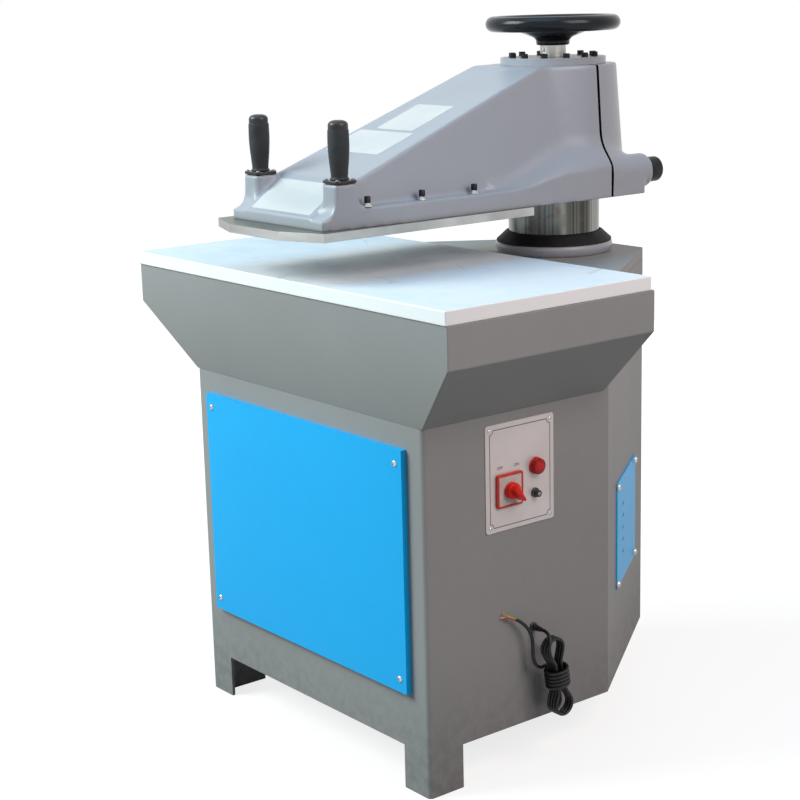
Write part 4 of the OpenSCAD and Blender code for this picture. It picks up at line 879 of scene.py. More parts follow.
castForm = {
    "low": (-172.0, -652.0, 929.0), "high": (172.0, 126.0, 1186.0), "cell": 3.12, "far": 20.0, "calm": 0.5,
    "floor": 939.0, "top": 1176.0, "ledge": 972.0, "sunk": 0.8, "edge": 3.5, "seam": 3.0, "spare": 8.0,
    "noseY": -638.0, "noseZ": 955.0, "slopeY": -554.0, "slopeZ": 1013.0, "backY": -121.0, "footY": -598.0,
    "webBack": -40.0, "footHalf": (128.0, 133.0), "topHalf": (113.0, 90.0), "lean": 0.985, "wall": 26.0,
    "hollowBack": -92.0, "noseBack": 20.0, "wedgeHalf": 95.0, "wedgeBack": 40.0, "shelfY": -562.0,
    "flange": [(-132, -638), (132, -638), (147, -478), (147, -200), (157, -72), (157, 60), (-157, 60),
               (-157, -72), (-147, -200), (-147, -478)],
    "clampPlan": [(-157, -60), (157, -60), (157, 85), (125, 105), (60, 120), (-60, 120), (-125, 105),
                  (-157, 85)],
    "clampHalf": 157.5, "clampSpan": 80.0, "housing": (134.0, 117.0), "bore": 87.2, "hornSpan": 160.0,
    "lugX": 125.0, "lugZ": 977.0, "lugRadius": 32.0, "lugFront": -72.0, "lugBack": 112.0,
    "lugTail": (137.0, -250.0, 957.0, 8.0), "boss": (115.0, -588.0), "bossHalf": 23.0, "bossFlare": 4.0,
    "bossCorner": 11.0, "bossInner": (84.0, 102.0), "sharp": 70.0,
    "fillet": {"housing": 26.0, "lug": (40.0, 50.0), "flange": 4.0, "boss": (6.0, 19.0), "wedge": 7.0,
               "clamp": 18.0},
    "round": {"rim": 2.5, "ledge": 1.6, "nose": 2.0, "boss": 3.0, "shelf": 3.0, "hollow": 4.0, "web": 4.0,
              "lugBack": 9.0, "lugFront": 4.0, "clampSide": 5.0, "clampBack": 7.0},
}


def blendIn(a, b, k):
    h = np.clip(0.5 + 0.5*(b - a)/k, 0, 1)
    return b*(1 - h) + a*h - k*h*(1 - h)


def trimTo(a, b, k):
    return -blendIn(-a, -b, k)


# Distance to a closed outline in plan
def outlineField(x, y, corners):
    nearest = np.full(np.broadcast(x, y).shape, np.inf, np.float32)
    sign = np.ones_like(nearest)
    for (ax, ay), (bx, by) in zip(corners, corners[1:] + corners[:1]):
        ex, ey = bx - ax, by - ay
        wx, wy = x - ax, y - ay
        t = np.clip((wx*ex + wy*ey)/(ex*ex + ey*ey), 0, 1)
        nearest = np.minimum(nearest, (wx - ex*t)**2 + (wy - ey*t)**2)
        first, second, third = y >= ay, y < by, ex*wy > ey*wx
        crossed = (first & second & third) | ~(first | second | third)
        sign = np.where(crossed, -sign, sign)
    return sign*np.sqrt(nearest)


# A plan raised to a height, with its upper edge rounded
def slabField(plan, z, top, r):
    side = plan + r
    rise = z - top + r
    return np.minimum(np.maximum(side, rise), 0) + np.hypot(np.maximum(side, 0), np.maximum(rise, 0)) - r


def lugField(x, y, z, s, front):
    tailX, tailY, tailZ, tailRadius = s["lugTail"]
    t = np.clip((s["lugFront"] - y)/(s["lugFront"] - tailY), 0, 1) if front else 0.0
    t = t*t*(3 - 2*t)
    middleX = s["lugX"] + (tailX - s["lugX"])*t
    middleZ = s["lugZ"] + (tailZ - s["lugZ"])*t
    horn = np.hypot(abs(x) - middleX, z - middleZ) - s["lugRadius"] - (tailRadius - s["lugRadius"])*t
    horn = trimTo(horn, y - s["lugBack"], s["round"]["lugBack"])
    return trimTo(horn, (tailY if front else s["lugFront"]) - y, s["round"]["lugFront"])


def webField(x, y, z, s):
    run = np.clip((y - s["slopeY"])/(s["backY"] - s["slopeY"]), 0, 1)
    topZ = s["slopeZ"] + (s["top"] - s["slopeZ"])*run
    topHalf = s["topHalf"][0] + (s["topHalf"][1] - s["topHalf"][0])*run
    along = np.clip((y - s["footY"])/(s["webBack"] - s["footY"]), 0, 1)
    footHalf = s["footHalf"][0] + (s["footHalf"][1] - s["footHalf"][0])*along
    side = (abs(x) - footHalf - (topHalf - footHalf)*(z - s["floor"])/(topZ - s["floor"]))*s["lean"]
    rise, length = s["top"] - s["slopeZ"], s["backY"] - s["slopeY"]
    slope = ((z - s["slopeZ"])*length - (y - s["slopeY"])*rise)/math.hypot(rise, length)
    up, deep = s["slopeZ"] - s["floor"], s["slopeY"] - s["footY"]
    front = ((z - s["floor"])*deep - (y - s["footY"])*up)/math.hypot(up, deep)
    web = trimTo(trimTo(side, slope, s["edge"]), front, s["edge"])
    return trimTo(web, y - s["webBack"], s["round"]["web"])


def bossField(x, y, z, s):
    t = np.clip((s["slopeZ"] - z)/(s["slopeZ"] - s["floor"]), 0, 1)
    flare = s["bossFlare"]*t*t
    qx = abs(abs(x) - s["boss"][0] - flare) - s["bossHalf"] - flare + s["bossCorner"]
    qy = abs(y - s["boss"][1]) - s["bossHalf"] - flare + s["bossCorner"]
    outside = np.hypot(np.maximum(qx, 0), np.maximum(qy, 0))
    body = np.minimum(np.maximum(qx, qy), 0) + outside - s["bossCorner"]
    return trimTo(body, z - s["slopeZ"], s["round"]["boss"])


def castFields(s):
    spans = [np.arange(low, high, s["cell"], dtype=np.float32) for low, high in zip(s["low"], s["high"])]
    x, y, z = np.meshgrid(*spans, indexing="ij", sparse=True)
    fillet = s["fillet"]
    edge = s["round"]
    wide, narrow = s["housing"]
    share = (z - s["floor"])/(s["top"] - s["floor"])
    housing = np.hypot(x, y) - wide - (narrow - wide)*share
    bore = np.hypot(x, y) - s["bore"]
    under = s["floor"] - s["sunk"] - z
    web = webField(x, y, z, s)
    arm = blendIn(web, housing, fillet["housing"])
    low, high = fillet["lug"]
    nearSeam = np.clip((y - s["lugTail"][1])/s["hornSpan"], 0, 1)
    arm = blendIn(arm, lugField(x, y, z, s, True), low + (high - low)*nearSeam)
    plan = outlineField(x, y, s["flange"])
    flange = slabField(plan, z, s["ledge"], edge["ledge"])
    noseRise, noseRun = s["ledge"] - s["noseZ"], s["footY"] + s["noseBack"] - s["noseY"]
    nose = ((z - s["noseZ"])*noseRun - (y - s["noseY"])*noseRise)/math.hypot(noseRise, noseRun)
    arm = blendIn(arm, trimTo(flange, nose, edge["nose"]), fillet["flange"])
    plateRise, plateRun = s["slopeZ"] - s["noseZ"], s["slopeY"] - s["noseY"]
    plate = ((z - s["noseZ"])*plateRun - (y - s["noseY"])*plateRise)/math.hypot(plateRise, plateRun)
    ends = np.maximum(s["noseY"] - y, y - s["slopeY"] - s["wedgeBack"])
    wedge = np.maximum(np.maximum(plate, abs(x) - s["wedgeHalf"]), ends)
    wedge = np.maximum(wedge, z - s["slopeZ"])
    arm = blendIn(arm, wedge, fillet["wedge"])
    inner, outer = s["bossInner"]
    away = np.clip((abs(x) - inner)/(outer - inner), 0, 1)
    near, far = fillet["boss"]
    arm = blendIn(arm, bossField(x, y, z, s), near + (far - near)*away)
    arm = trimTo(arm, -np.maximum(s["slopeZ"] - z, y - s["shelfY"]), edge["shelf"])
    arm = np.maximum(arm, plan)
    hollow = np.maximum(web + s["wall"], y - s["hollowBack"])
    arm = trimTo(arm, -hollow, edge["hollow"])
    arm = trimTo(trimTo(np.maximum(arm, under), z - s["top"], edge["rim"]), -bore, edge["rim"])
    arm = np.maximum(arm, y - s["spare"])
    fromSeam = np.clip(y/s["clampSpan"], 0, 1)
    cap = blendIn(housing, lugField(x, y, z, s, False), high + (fillet["clamp"] - high)*fromSeam)
    base = slabField(outlineField(x, y, s["clampPlan"]), z, s["ledge"], edge["ledge"])
    cap = blendIn(cap, base, fillet["flange"])
    cap = trimTo(cap, abs(x) - s["clampHalf"], edge["clampSide"])
    cap = trimTo(cap, y - s["lugBack"], edge["clampBack"])
    cap = trimTo(trimTo(np.maximum(cap, under), z - s["top"], edge["rim"]), -bore, edge["rim"])
    cap = np.maximum(cap, -s["spare"] - y)
    return arm, cap


# Meshes a field, cuts it flat at the seam on the side given and leaves the cut unpainted: bare iron darkened
# near black, painted shade for the seam's gap
def castPiece(name, field, s, node, side):
    grid = openvdb.FloatGrid(s["far"])
    grid.copyFromArray(np.ascontiguousarray(field, np.float32))
    points, quads = grid.convertToQuads(isovalue=0.0)
    places = (points*s["cell"] + np.array(s["low"]))/1000
    bm = bmesh.new()
    verts = [bm.verts.new(p) for p in places.tolist()]
    for quad in quads.tolist():
        corners = list(dict.fromkeys(quad))
        if len(corners) > 2:
            bm.faces.new([verts[i] for i in corners])
    bmesh.ops.smooth_vert(bm, verts=bm.verts, factor=s["calm"], use_axis_x=True, use_axis_y=True,
                          use_axis_z=True)
    everything = bm.verts[:] + bm.edges[:] + bm.faces[:]
    seam = (0, side*s["seam"]/1000, 0)
    cut = bmesh.ops.bisect_plane(bm, geom=everything, plane_co=seam, plane_no=(0, -side, 0), clear_outer=True)
    rim = [part for part in cut["geom_cut"] if isinstance(part, bmesh.types.BMEdge)]
    for face in bmesh.ops.edgeloop_fill(bm, edges=rim)["faces"]:
        face.material_index = 1
    bmesh.ops.recalc_face_normals(bm, faces=bm.faces)
    mesh = meshOf(name, bm, [armEnamel, rawIronAndSeamShade], s["sharp"])
    newPiece(name, mesh, "arm", "arm_paint", node)
    print(name, "cast:", len(quads), "faces")


armField, capField = castFields(castForm)
castPiece("armCasting", armField, castForm, "arm_casting", -1)
castPiece("clampCap", capField, castForm, "clamp_cap", 1)


# Blank plates on the arm's slopes: thin, with round corners

blankPlates = {
    "thick": 0.0006, "corner": 0.004, "sharp": 20.0, "levels": [(0.0, -3.0), (0.0, 0.6), (0.5, 1.0)],
    "places": {
        "namePlate": {
            "start": (-638.0, 955.0), "end": (-554.0, 1013.0), "x": (-86.0, 86.0), "along": (10.0, 88.0)},
        "slopeLabelLow": {
            "start": (-554.0, 1013.0), "end": (-121.0, 1176.0), "x": (-90.0, 61.0), "along": (94.0, 179.0)},
        "slopeLabelHigh": {
            "start": (-554.0, 1013.0), "end": (-121.0, 1176.0), "x": (-55.0, 47.0), "along": (188.0, 291.0)},
    },
}


def roundedOutline(half, corner, steps=6):
    points = []
    for quarter, (sx, sy) in enumerate(((1, 1), (-1, 1), (-1, -1), (1, -1))):
        for i in range(steps + 1):
            a = math.pi/2*(quarter + i/steps)
            x = sx*(half[0] - corner) + corner*math.cos(a)
            points.append((x, sy*(half[1] - corner) + corner*math.sin(a)))
    return points


# Joins rings of equal count into one closed skin and returns its top face
def closeRings(bm, rings):
    for low, high in zip(rings, rings[1:]):
        for i in range(len(low)):
            j = (i + 1) % len(low)
            bm.faces.new((low[i], low[j], high[j], high[i]))
    bm.faces.new(list(reversed(rings[0])))
    return bm.faces.new(rings[-1])


def makePlate(name, where, s):
    start = Vector((0, *where["start"]))/1000
    along = (Vector((0, *where["end"])) - Vector((0, *where["start"]))).normalized()
    across = Vector((1, 0, 0))
    out = across.cross(along)
    middle = start + across*sum(where["x"])/2000 + along*sum(where["along"])/2000
    half = ((where["x"][1] - where["x"][0])/2000, (where["along"][1] - where["along"][0])/2000)
    bm = bmesh.new()
    rings = []
    for insetShare, riseShare in s["levels"]:
        inset = s["thick"]*insetShare
        rise = s["thick"]*riseShare
        outline = roundedOutline((half[0] - inset, half[1] - inset), s["corner"])
        rings.append([bm.verts.new(middle + across*u + along*v + out*rise) for u, v in outline])
    closeRings(bm, rings)
    bmesh.ops.recalc_face_normals(bm, faces=bm.faces)
    newPiece(name, meshOf(name, bm, [blankVinyl], s["sharp"]), "arm", "control_face")


for name, where in blankPlates["places"].items():
    makePlate(name, where, blankPlates)
print("blank plates laid")


# Handwheel: hub, dished web and fat rim, turned in one piece

wheelForm = {
    "base": 1210.2, "bore": 20.2, "hubHeight": 34.0, "ring": 111.0, "rim": 13.99, "rimZ": 40.0,
    "rimStart": -150, "rimStep": 10, "rimPoints": 31, "softUnder": 5.0, "softOver": 3.0, "steps": 128,
    "sharp": 50.0, "under": [(31.0, 0.0), (31.0, 9.0), (36.0, 14.0), (66.0, 26.0), (94.0, 30.0)],
    "over": [(94.0, 39.0), (64.0, 34.5), (38.0, 25.5), (31.0, 27.0), (31.0, 32.0), (28.0, 34.0)],
}


def makeWheel(s):
    rim = []
    for i in range(s["rimPoints"]):
        a = math.radians(s["rimStart"] + s["rimStep"]*i)
        rim.append((s["ring"] + s["rim"]*math.cos(a), s["rimZ"] + s["rim"]*math.sin(a)))
    under = softened([(s["bore"], 0.0), *s["under"]], s["softUnder"])
    over = softened([*s["over"], (s["bore"], s["hubHeight"])], s["softOver"])
    profile = [tuple(p) for p in under] + rim + [tuple(p) for p in over]
    profile.append(profile[0])
    bm = lathe(profile, s["steps"], upright(0, 0, s["base"]))
    closeSeam(bm)
    mesh = meshOf("handwheelDish", bm, [wheelGloss], s["sharp"])
    newPiece("handwheelDish", mesh, "wheel", "black_plastic", "handwheel")


makeWheel(wheelForm)


# Bolts that hold the platen: tall black heads on low bright bushes, three a side along the flange

boltForm = {
    "x": 136.0, "y": -548.0, "step": 116.0, "count": 3, "ledge": 972.0, "steps": 32,
    "bolt": [(0, -44.0), (3.0, -44.0), (3.0, 6.2), (5.4, 6.2), (5.4, 16.2), (4.8, 17.0), (2.6, 17.0),
             (2.6, 12.0), (0, 12.0)],
    "bush": [(3.2, 0.2), (8.4, 0.2), (8.4, 2.6), (7.9, 3.0), (6.2, 3.0), (6.2, 5.6), (5.8, 6.0), (3.2, 6.0),
             (3.2, 0.2)],
}


def makePlatenBolts(s):
    kinds = (("platenBolts", "bolt", blackSteel, "black_steel", "platen_bolts"),
             ("platenBushes", "bush", fastenerSteel, "bright_steel", "platen_bushes"))
    for name, part, finish, slot, node in kinds:
        mesh = bpy.data.meshes.new(name)
        whole = bmesh.new()
        for side in (-1, 1):
            for i in range(s["count"]):
                bm = lathe(s[part], s["steps"], upright(side*s["x"], s["y"] + i*s["step"], s["ledge"]))
                bm.to_mesh(mesh)
                bm.free()
                whole.from_mesh(mesh)
        bpy.data.meshes.remove(mesh)
        closeSeam(whole)
        newPiece(name, meshOf(name, whole, [finish]), "arm", slot, node)


makePlatenBolts(boltForm)


# Grips with their push buttons

gripForm = {
    "x": 115.0, "y": -588.0, "base": 1018.0, "button": 1100.2, "soft": 1.2, "steps": 64, "sharp": 55.0,
    "profile": [(0, 0), (16.0, 0), (16.0, 2.4), (14.2, 3.4), (14.1, 7.0), (15.2, 18.0), (16.8, 34.0),
                (17.8, 50.0), (18.0, 62.0), (17.8, 72.0), (17.6, 80.6), (17.2, 81.2), (17.0, 81.2),
                (17.0, 71.5), (0, 71.5)],
    "cap": [(0, -6.0), (16.7, -6.0), (16.7, 6.8), (16.2, 9.2), (14.6, 11.6), (11.6, 13.5), (7.0, 14.7),
            (2.4, 15.0), (0, 15.0)],
    "plateHalf": 22.0, "plateCorner": 8.0, "plateSharp": 30.0,
    "plateLevels": [(0.0, 1013.0), (0.0, 1016.8), (0.4, 1017.6), (1.2, 1018.0)],
}


def makeGrips(s):
    for side, label in ((-1, "left"), (1, "right")):
        title = label.capitalize()
        place = upright(side*s["x"], s["y"], s["base"])
        turnedPiece("grip" + title, s["profile"], s, place, gripRubber, "arm", "black_rubber",
                    "grip_" + label)
        place = upright(side*s["x"], s["y"], s["button"])
        button = "button_" + label
        turnedPiece("button" + title, s["cap"], s, place, blackPlastic, button, "black_plastic", button)
    bm = bmesh.new()
    y = s["y"]/1000
    for side in (-1, 1):
        x = side*s["x"]/1000
        rings = []
        for inset, rise in s["plateLevels"]:
            half = (s["plateHalf"] - inset)/1000
            outline = roundedOutline((half, half), (s["plateCorner"] - inset)/1000)
            rings.append([bm.verts.new((x + u, y + v, rise/1000)) for u, v in outline])
        closeRings(bm, rings)
    bmesh.ops.recalc_face_normals(bm, faces=bm.faces)
    mesh = meshOf("gripPlates", bm, [plateGloss], s["plateSharp"])
    newPiece("gripPlates", mesh, "arm", "black_plastic", "grip_plates")


makeGrips(gripForm)


# Dust skirt: a rubber cone that closes on the column, with a flat foot and a wiping lip

skirtForm = {
    "base": 847.0, "height": 19.0, "steps": 120, "ripple": 0.3, "waves": [(1.0, 7, 0.8), (0.6, 12, 2.1)],
    "least": 86.4, "sharp": 55.0,
    "outer": [(108.8, 0.0), (109.0, 0.04), (109.0, 0.12), (107.6, 0.18), (100.4, 0.52), (93.4, 0.88),
              (91.2, 0.975), (89.2, 1.0)],
    "inner": [(87.2, 0.985), (86.5, 0.92), (86.8, 0.76), (97.5, 0.22), (99.4, 0.12), (99.4, 0.0)],
}


def makeSkirt(s):
    bm = bmesh.new()
    rings = []
    for i in range(s["steps"]):
        a = 2*math.pi*i/s["steps"]
        wave = sum(size*math.sin(count*a + start) for size, count, start in s["waves"])
        ring = []
        for radius, share in s["outer"] + s["inner"]:
            soft = math.sin(math.pi*share)*s["ripple"]
            r = max(s["least"], radius + soft*wave)
            z = s["base"] + share*s["height"]
            ring.append(bm.verts.new((r*math.cos(a)/1000, r*math.sin(a)/1000, z/1000)))
        rings.append(ring)
    for low, high in zip(rings, rings[1:] + rings[:1]):
        for k in range(len(low)):
            j = (k + 1) % len(low)
            bm.faces.new((low[k], high[k], high[j], low[j]))
    bmesh.ops.recalc_face_normals(bm, faces=bm.faces)
    mesh = meshOf("dustSkirt", bm, [skirtRubber], s["sharp"])
    newPiece("dustSkirt", mesh, "base", "black_rubber", "dust_skirt")


makeSkirt(skirtForm)

# Guide sleeve of the column: a plain tube with a rounded flange on the deck

sleeveForm = {
    "steps": 96, "sharp": 50.0,
    "profile": [(86.2, 600.0), (104.0, 600.0), (104.0, 825.8), (106.4, 826.4), (108.8, 829.4), (110.4, 834.0),
                (110.9, 838.6), (110.4, 842.6), (108.8, 845.6), (106.0, 846.9), (86.2, 847.0), (86.2, 600.0)],
}


def makeSleeve(s):
    bm = lathe(s["profile"], s["steps"], upright(0, 0, 0))
    closeSeam(bm)
    mesh = meshOf("sleeveFlange", bm, [armEnamel], s["sharp"])
    newPiece("sleeveFlange", mesh, "base", "arm_paint", "guide_sleeve")


makeSleeve(sleeveForm)
print("wheel, grips and dust skirt turned")


# Switch: red frame, pale face and a pointer knob; lamp and fuse beside it

controls = {
    "plate": 334.5,
    "switch": {"y": -421.0, "z": 504.0, "half": 29.0, "corner": 5.0, "leastCorner": 1.5, "sharp": 40.0,
               "frame": [(0.0, 0.0), (0.0, 4.6), (1.2, 5.8), (3.6, 6.0), (4.4, 5.0)], "knobBase": 6.2,
               "turn": -140.0},
    "knob": {"disc": [(0, 0), (14.4, 0), (14.4, 8.6), (13.2, 11.0), (10.0, 12.0), (0, 12.0)], "soft": 1.0,
             "steps": 48, "pointer": [(-6.8, -12.4), (6.8, -12.4), (2.6, 22.6), (-2.6, 22.6)], "foot": 2.0,
             "tall": 23.5, "draft": 0.82, "edge": 0.0016, "edgeSteps": 3, "sharp": 45.0},
    "lamp": {"y": -360.0, "z": 534.0, "soft": 0.8, "steps": 48, "sharp": 45.0,
             "bezel": [(0, -1), (15.0, -1), (15.0, 1.6), (14.4, 2.2), (0, 2.2)],
             "lens": [(0, 1), (13.9, 1), (13.9, 9.4), (12.8, 11.4), (10.2, 12.3), (5.0, 12.9), (0, 13.0)]},
    "fuse": {"y": -362.0, "z": 487.0, "soft": 0.5, "steps": 40, "sharp": 45.0,
             "cap": [(0, -1), (8.5, -1), (8.5, 2.8), (7.6, 3.8), (6.2, 4.2), (6.0, 11.2), (5.2, 12.0),
                     (3.4, 12.0), (3.2, 11.2), (0, 11.2)],
             "core": [(0, 10.5), (2.9, 10.5), (2.9, 11.9), (2.5, 12.3), (0, 12.3)]},
}


def makeSwitch(s, plate):
    bm = bmesh.new()
    rings = []
    for inset, rise in s["frame"]:
        half = s["half"] - inset
        outline = roundedOutline((half, half), max(s["leastCorner"], s["corner"] - inset))
        place = [((plate + rise)/1000, (s["y"] + u)/1000, (s["z"] + v)/1000) for u, v in outline]
        rings.append([bm.verts.new(p) for p in place])
    closeRings(bm, rings).material_index = 1
    bmesh.ops.recalc_face_normals(bm, faces=bm.faces)
    mesh = meshOf("switchFrame", bm, [frameRed, paleFace], s["sharp"])
    newPiece("switchFrame", mesh, "base", "red_plastic", "switch_body")


def makeKnob(s, switch, plate):
    disc = [tuple(p) for p in softened(s["disc"], s["soft"], makeForm["cornerSteps"])]
    bm = lathe(disc, s["steps"], Matrix.Identity(4))
    slim = 0.5 + s["draft"]/2
    foot = [bm.verts.new((u/1000, v/1000, s["foot"]/1000)) for u, v in s["pointer"]]
    head = [bm.verts.new((u*s["draft"]/1000, v*slim/1000, s["tall"]/1000)) for u, v in s["pointer"]]
    sides = []
    for i in range(len(foot)):
        j = (i + 1) % len(foot)
        sides.append(bm.faces.new((foot[i], foot[j], head[j], head[i])))
    sides += [bm.faces.new(head), bm.faces.new(list(reversed(foot)))]
    edges = list({edge for face in sides for edge in face.edges})
    bmesh.ops.bevel(bm, geom=edges, offset=s["edge"], segments=s["edgeSteps"], affect="EDGES", profile=0.5)
    bmesh.ops.recalc_face_normals(bm, faces=bm.faces)
    seat = Matrix.Translation(((plate + switch["knobBase"])/1000, switch["y"]/1000, switch["z"]/1000))
    onFace = Matrix(((0, 0, 1, 0), (1, 0, 0, 0), (0, 1, 0, 0), (0, 0, 0, 1)))
    bm.transform(seat @ Matrix.Rotation(math.radians(switch["turn"]), 4, "X") @ onFace)
    mesh = meshOf("switchKnob", bm, [redPlastic], s["sharp"])
    newPiece("switchKnob", mesh, "switch", "red_plastic", "switch_knob")


def makeControls(s):
    makeSwitch(s["switch"], s["plate"])
    makeKnob(s["knob"], s["switch"], s["plate"])
    lamp = s["lamp"]
    place = alongX(s["plate"], lamp["y"], lamp["z"])
    turnedPiece("lampBezel", lamp["bezel"], lamp, place, frameRed, "base", "red_plastic")
    turnedPiece("lampDome", lamp["lens"], lamp, place, lampLens, "base", "red_plastic", "pilot_lamp")
    fuse = s["fuse"]
    place = alongX(s["plate"], fuse["y"], fuse["z"])
    turnedPiece("fuseCap", fuse["cap"], fuse, place, blackPlastic, "base", "black_plastic", "fuse_holder")
    turnedPiece("fuseCore", fuse["core"], fuse, place, dulledZinc, "base", "bright_steel")


makeControls(controls)

switchWords = {
    "size": 0.0074, "thick": 0.00008, "x": 0.33465, "z": 0.5415, "words": (("OFF", -0.4400), ("ON", -0.4035)),
}


def makeWords(s):
    for word, y in s["words"]:
        text = bpy.data.curves.new("word" + word.capitalize(), "FONT")
        text.body = word
        text.size = s["size"]
        text.align_x = "CENTER"
        text.extrude = s["thick"]
        maker = bpy.data.objects.new("wordMaker", text)
        bpy.context.scene.collection.objects.link(maker)
        mesh = shownMesh(maker)
        bpy.data.objects.remove(maker)
        onSide = Matrix(((0, 0, 1, s["x"]), (1, 0, 0, y), (0, 1, 0, s["z"]), (0, 0, 0, 1)))
        mesh.transform(onSide)
        mesh.materials.clear()
        mesh.materials.append(inkBlack)
        newPiece("switchWord" + word.capitalize(), mesh, "base", "control_face")


makeWords(switchWords)
print("controls made")


# Screws: one head, put on every seat along its own aim and turned at random

screwKinds = {
    "panelScrews": {"recess": "cross", "sizes": {"Head radius": 0.0057, "Head height": 0.0036}, "seed": 4},
    "ventScrews": {"recess": "cross", "sizes": {"Head radius": 0.0064, "Head height": 0.0070}, "seed": 3},
    "plateScrews": {"recess": "cross", "sizes": {"Head radius": 0.0038, "Head height": 0.0022}, "seed": 9},
    "gripScrews": {"recess": "cross", "sizes": {"Head radius": 0.0036, "Head height": 0.0022}, "seed": 2},
    "capScrews": {"recess": "hex", "sizes": {"Head radius": 0.0062, "Head height": 0.0080}, "seed": 7},
}


screwHead = {
    "ball": (28, 14), "barLong": 1.15, "barWide": 0.24, "barDeep": 0.8, "drumSides": 36, "keySides": 6,
    "keyRadius": 0.58, "mostTurn": 6.283, "sharp": 40.0,
}


def screwTree(name, s, finish, h):
    tree = bpy.data.node_groups.new(name, "GeometryNodeTree")
    tree.interface.new_socket("Seats", in_out="INPUT", socket_type="NodeSocketGeometry")
    for label, value in s["sizes"].items():
        tree.interface.new_socket(label, in_out="INPUT", socket_type="NodeSocketFloat").default_value = value
    tree.interface.new_socket("Screws", in_out="OUTPUT", socket_type="NodeSocketGeometry")
    entry = tree.nodes.new("NodeGroupInput")
    seats = Wire(tree, entry.outputs["Seats"])
    radius = Wire(tree, entry.outputs["Head radius"])
    height = Wire(tree, entry.outputs["Head height"])

    def vector(x, y, z):
        return seats.node("ShaderNodeCombineXYZ", {}, {"X": x, "Y": y, "Z": z})

    def moved(shape, how, amount):
        return seats.node("GeometryNodeTransform", {}, {"Geometry": shape, how: amount})

    def drum(sides, wide):
        sockets = {"Vertices": sides, "Radius": wide, "Depth": height}
        return seats.node("GeometryNodeMeshCylinder", {}, sockets)

    cutters = []
    if s["recess"] == "cross":
        segments, rings = h["ball"]
        sockets = {"Segments": segments, "Rings": rings, "Radius": 1.0}
        ball = seats.node("GeometryNodeMeshUVSphere", {}, sockets)
        head = moved(ball, "Scale", vector(radius, radius, height))
        for x, y in ((h["barLong"], h["barWide"]), (h["barWide"], h["barLong"])):
            size = vector(radius*x, radius*y, height*h["barDeep"])
            bar = seats.node("GeometryNodeMeshCube", {}, {"Size": size})
            cutters.append(moved(bar, "Translation", vector(0.0, 0.0, height)))
    else:
        head = moved(drum(h["drumSides"], radius), "Translation", vector(0.0, 0.0, height*0.5))
        key = drum(h["keySides"], radius*h["keyRadius"])
        cutters.append(moved(key, "Translation", vector(0.0, 0.0, height)))
    recess = tree.nodes.new("GeometryNodeMeshBoolean")
    recess.operation = "DIFFERENCE"
    tree.links.new(head.socket, recess.inputs["Mesh 1"])
    for cutter in cutters:
        tree.links.new(cutter.socket, recess.inputs["Mesh 2"])
    cutHead = Wire(tree, recess.outputs["Mesh"])
    aim = seats.node("GeometryNodeInputNamedAttribute", {"data_type": "FLOAT_VECTOR"}, {"Name": "aim"})
    facing = seats.node("FunctionNodeAlignRotationToVector", {"axis": "Z"}, {"Vector": aim})
    turns = {2: 0.0, 3: h["mostTurn"], "Seed": s["seed"]}
    spin = seats.node("FunctionNodeRandomValue", {"data_type": "FLOAT"}, turns, 1)
    twist = seats.node("FunctionNodeAxisAngleToRotation", {}, {"Axis": (0, 0, 1), "Angle": spin})
    sockets = {"Rotation": facing, "Rotate By": twist}
    turned = seats.node("FunctionNodeRotateRotation", {"rotation_space": "LOCAL"}, sockets)
    sockets = {"Points": seats, "Instance": cutHead, "Rotation": turned}
    placed = seats.node("GeometryNodeInstanceOnPoints", {}, sockets)
    real = seats.node("GeometryNodeRealizeInstances", {}, {"Geometry": placed})
    painted = seats.node("GeometryNodeSetMaterial", {}, {"Geometry": real, "Material": finish})
    leave = tree.nodes.new("NodeGroupOutput")
    tree.links.new(painted.socket, leave.inputs["Screws"])
    return tree


def placeScrews(name, seats, finish, body, slot, *replaced):
    s = screwKinds[name]
    data = bpy.data.meshes.new(name + "Seats")
    data.from_pydata([seat for seat, _ in seats], [], [])
    aims = data.attributes.new("aim", "FLOAT_VECTOR", "POINT")
    for value, (_, aim) in zip(aims.data, seats):
        value.vector = aim
    maker = bpy.data.objects.new(name + "Seats", data)
    bpy.context.scene.collection.objects.link(maker)
    tree = screwTree(name + "Tree", s, finish, screwHead)
    grower = maker.modifiers.new("screws", "NODES")
    grower.node_group = tree
    for item in tree.interface.items_tree:
        if item.in_out == "INPUT" and item.name in s["sizes"]:
            grower[item.identifier] = s["sizes"][item.name]
    mesh = shownMesh(maker)
    bpy.data.objects.remove(maker)
    bpy.data.node_groups.remove(tree)
    mesh.shade_smooth()
    mesh.set_sharp_from_angle(angle=math.radians(screwHead["sharp"]))
    newPiece(name, mesh, body, slot, *replaced)
    print(name, "placed:", len(seats))


screwSeats = {
    "frontFace": -0.6130, "frontX": 0.273, "frontZ": (0.201, 0.573), "wingStart": (0.3325, -0.186),
    "wingEnd": (0.1025, 0.136), "wingProud": 0.003, "wingS": (0.091, 0.286), "wingZ": (0.251, 0.435),
    "plateX": 0.3345, "plateY": (-0.4625, -0.3275), "plateZ": (0.4435, 0.6105), "gripX": (0.099, 0.131),
    "gripY": (-0.604, -0.572), "gripZ": 1.018, "capRadius": 0.078, "capCount": 12, "capTurn": 5.0,
    "capTop": 1.189,
}


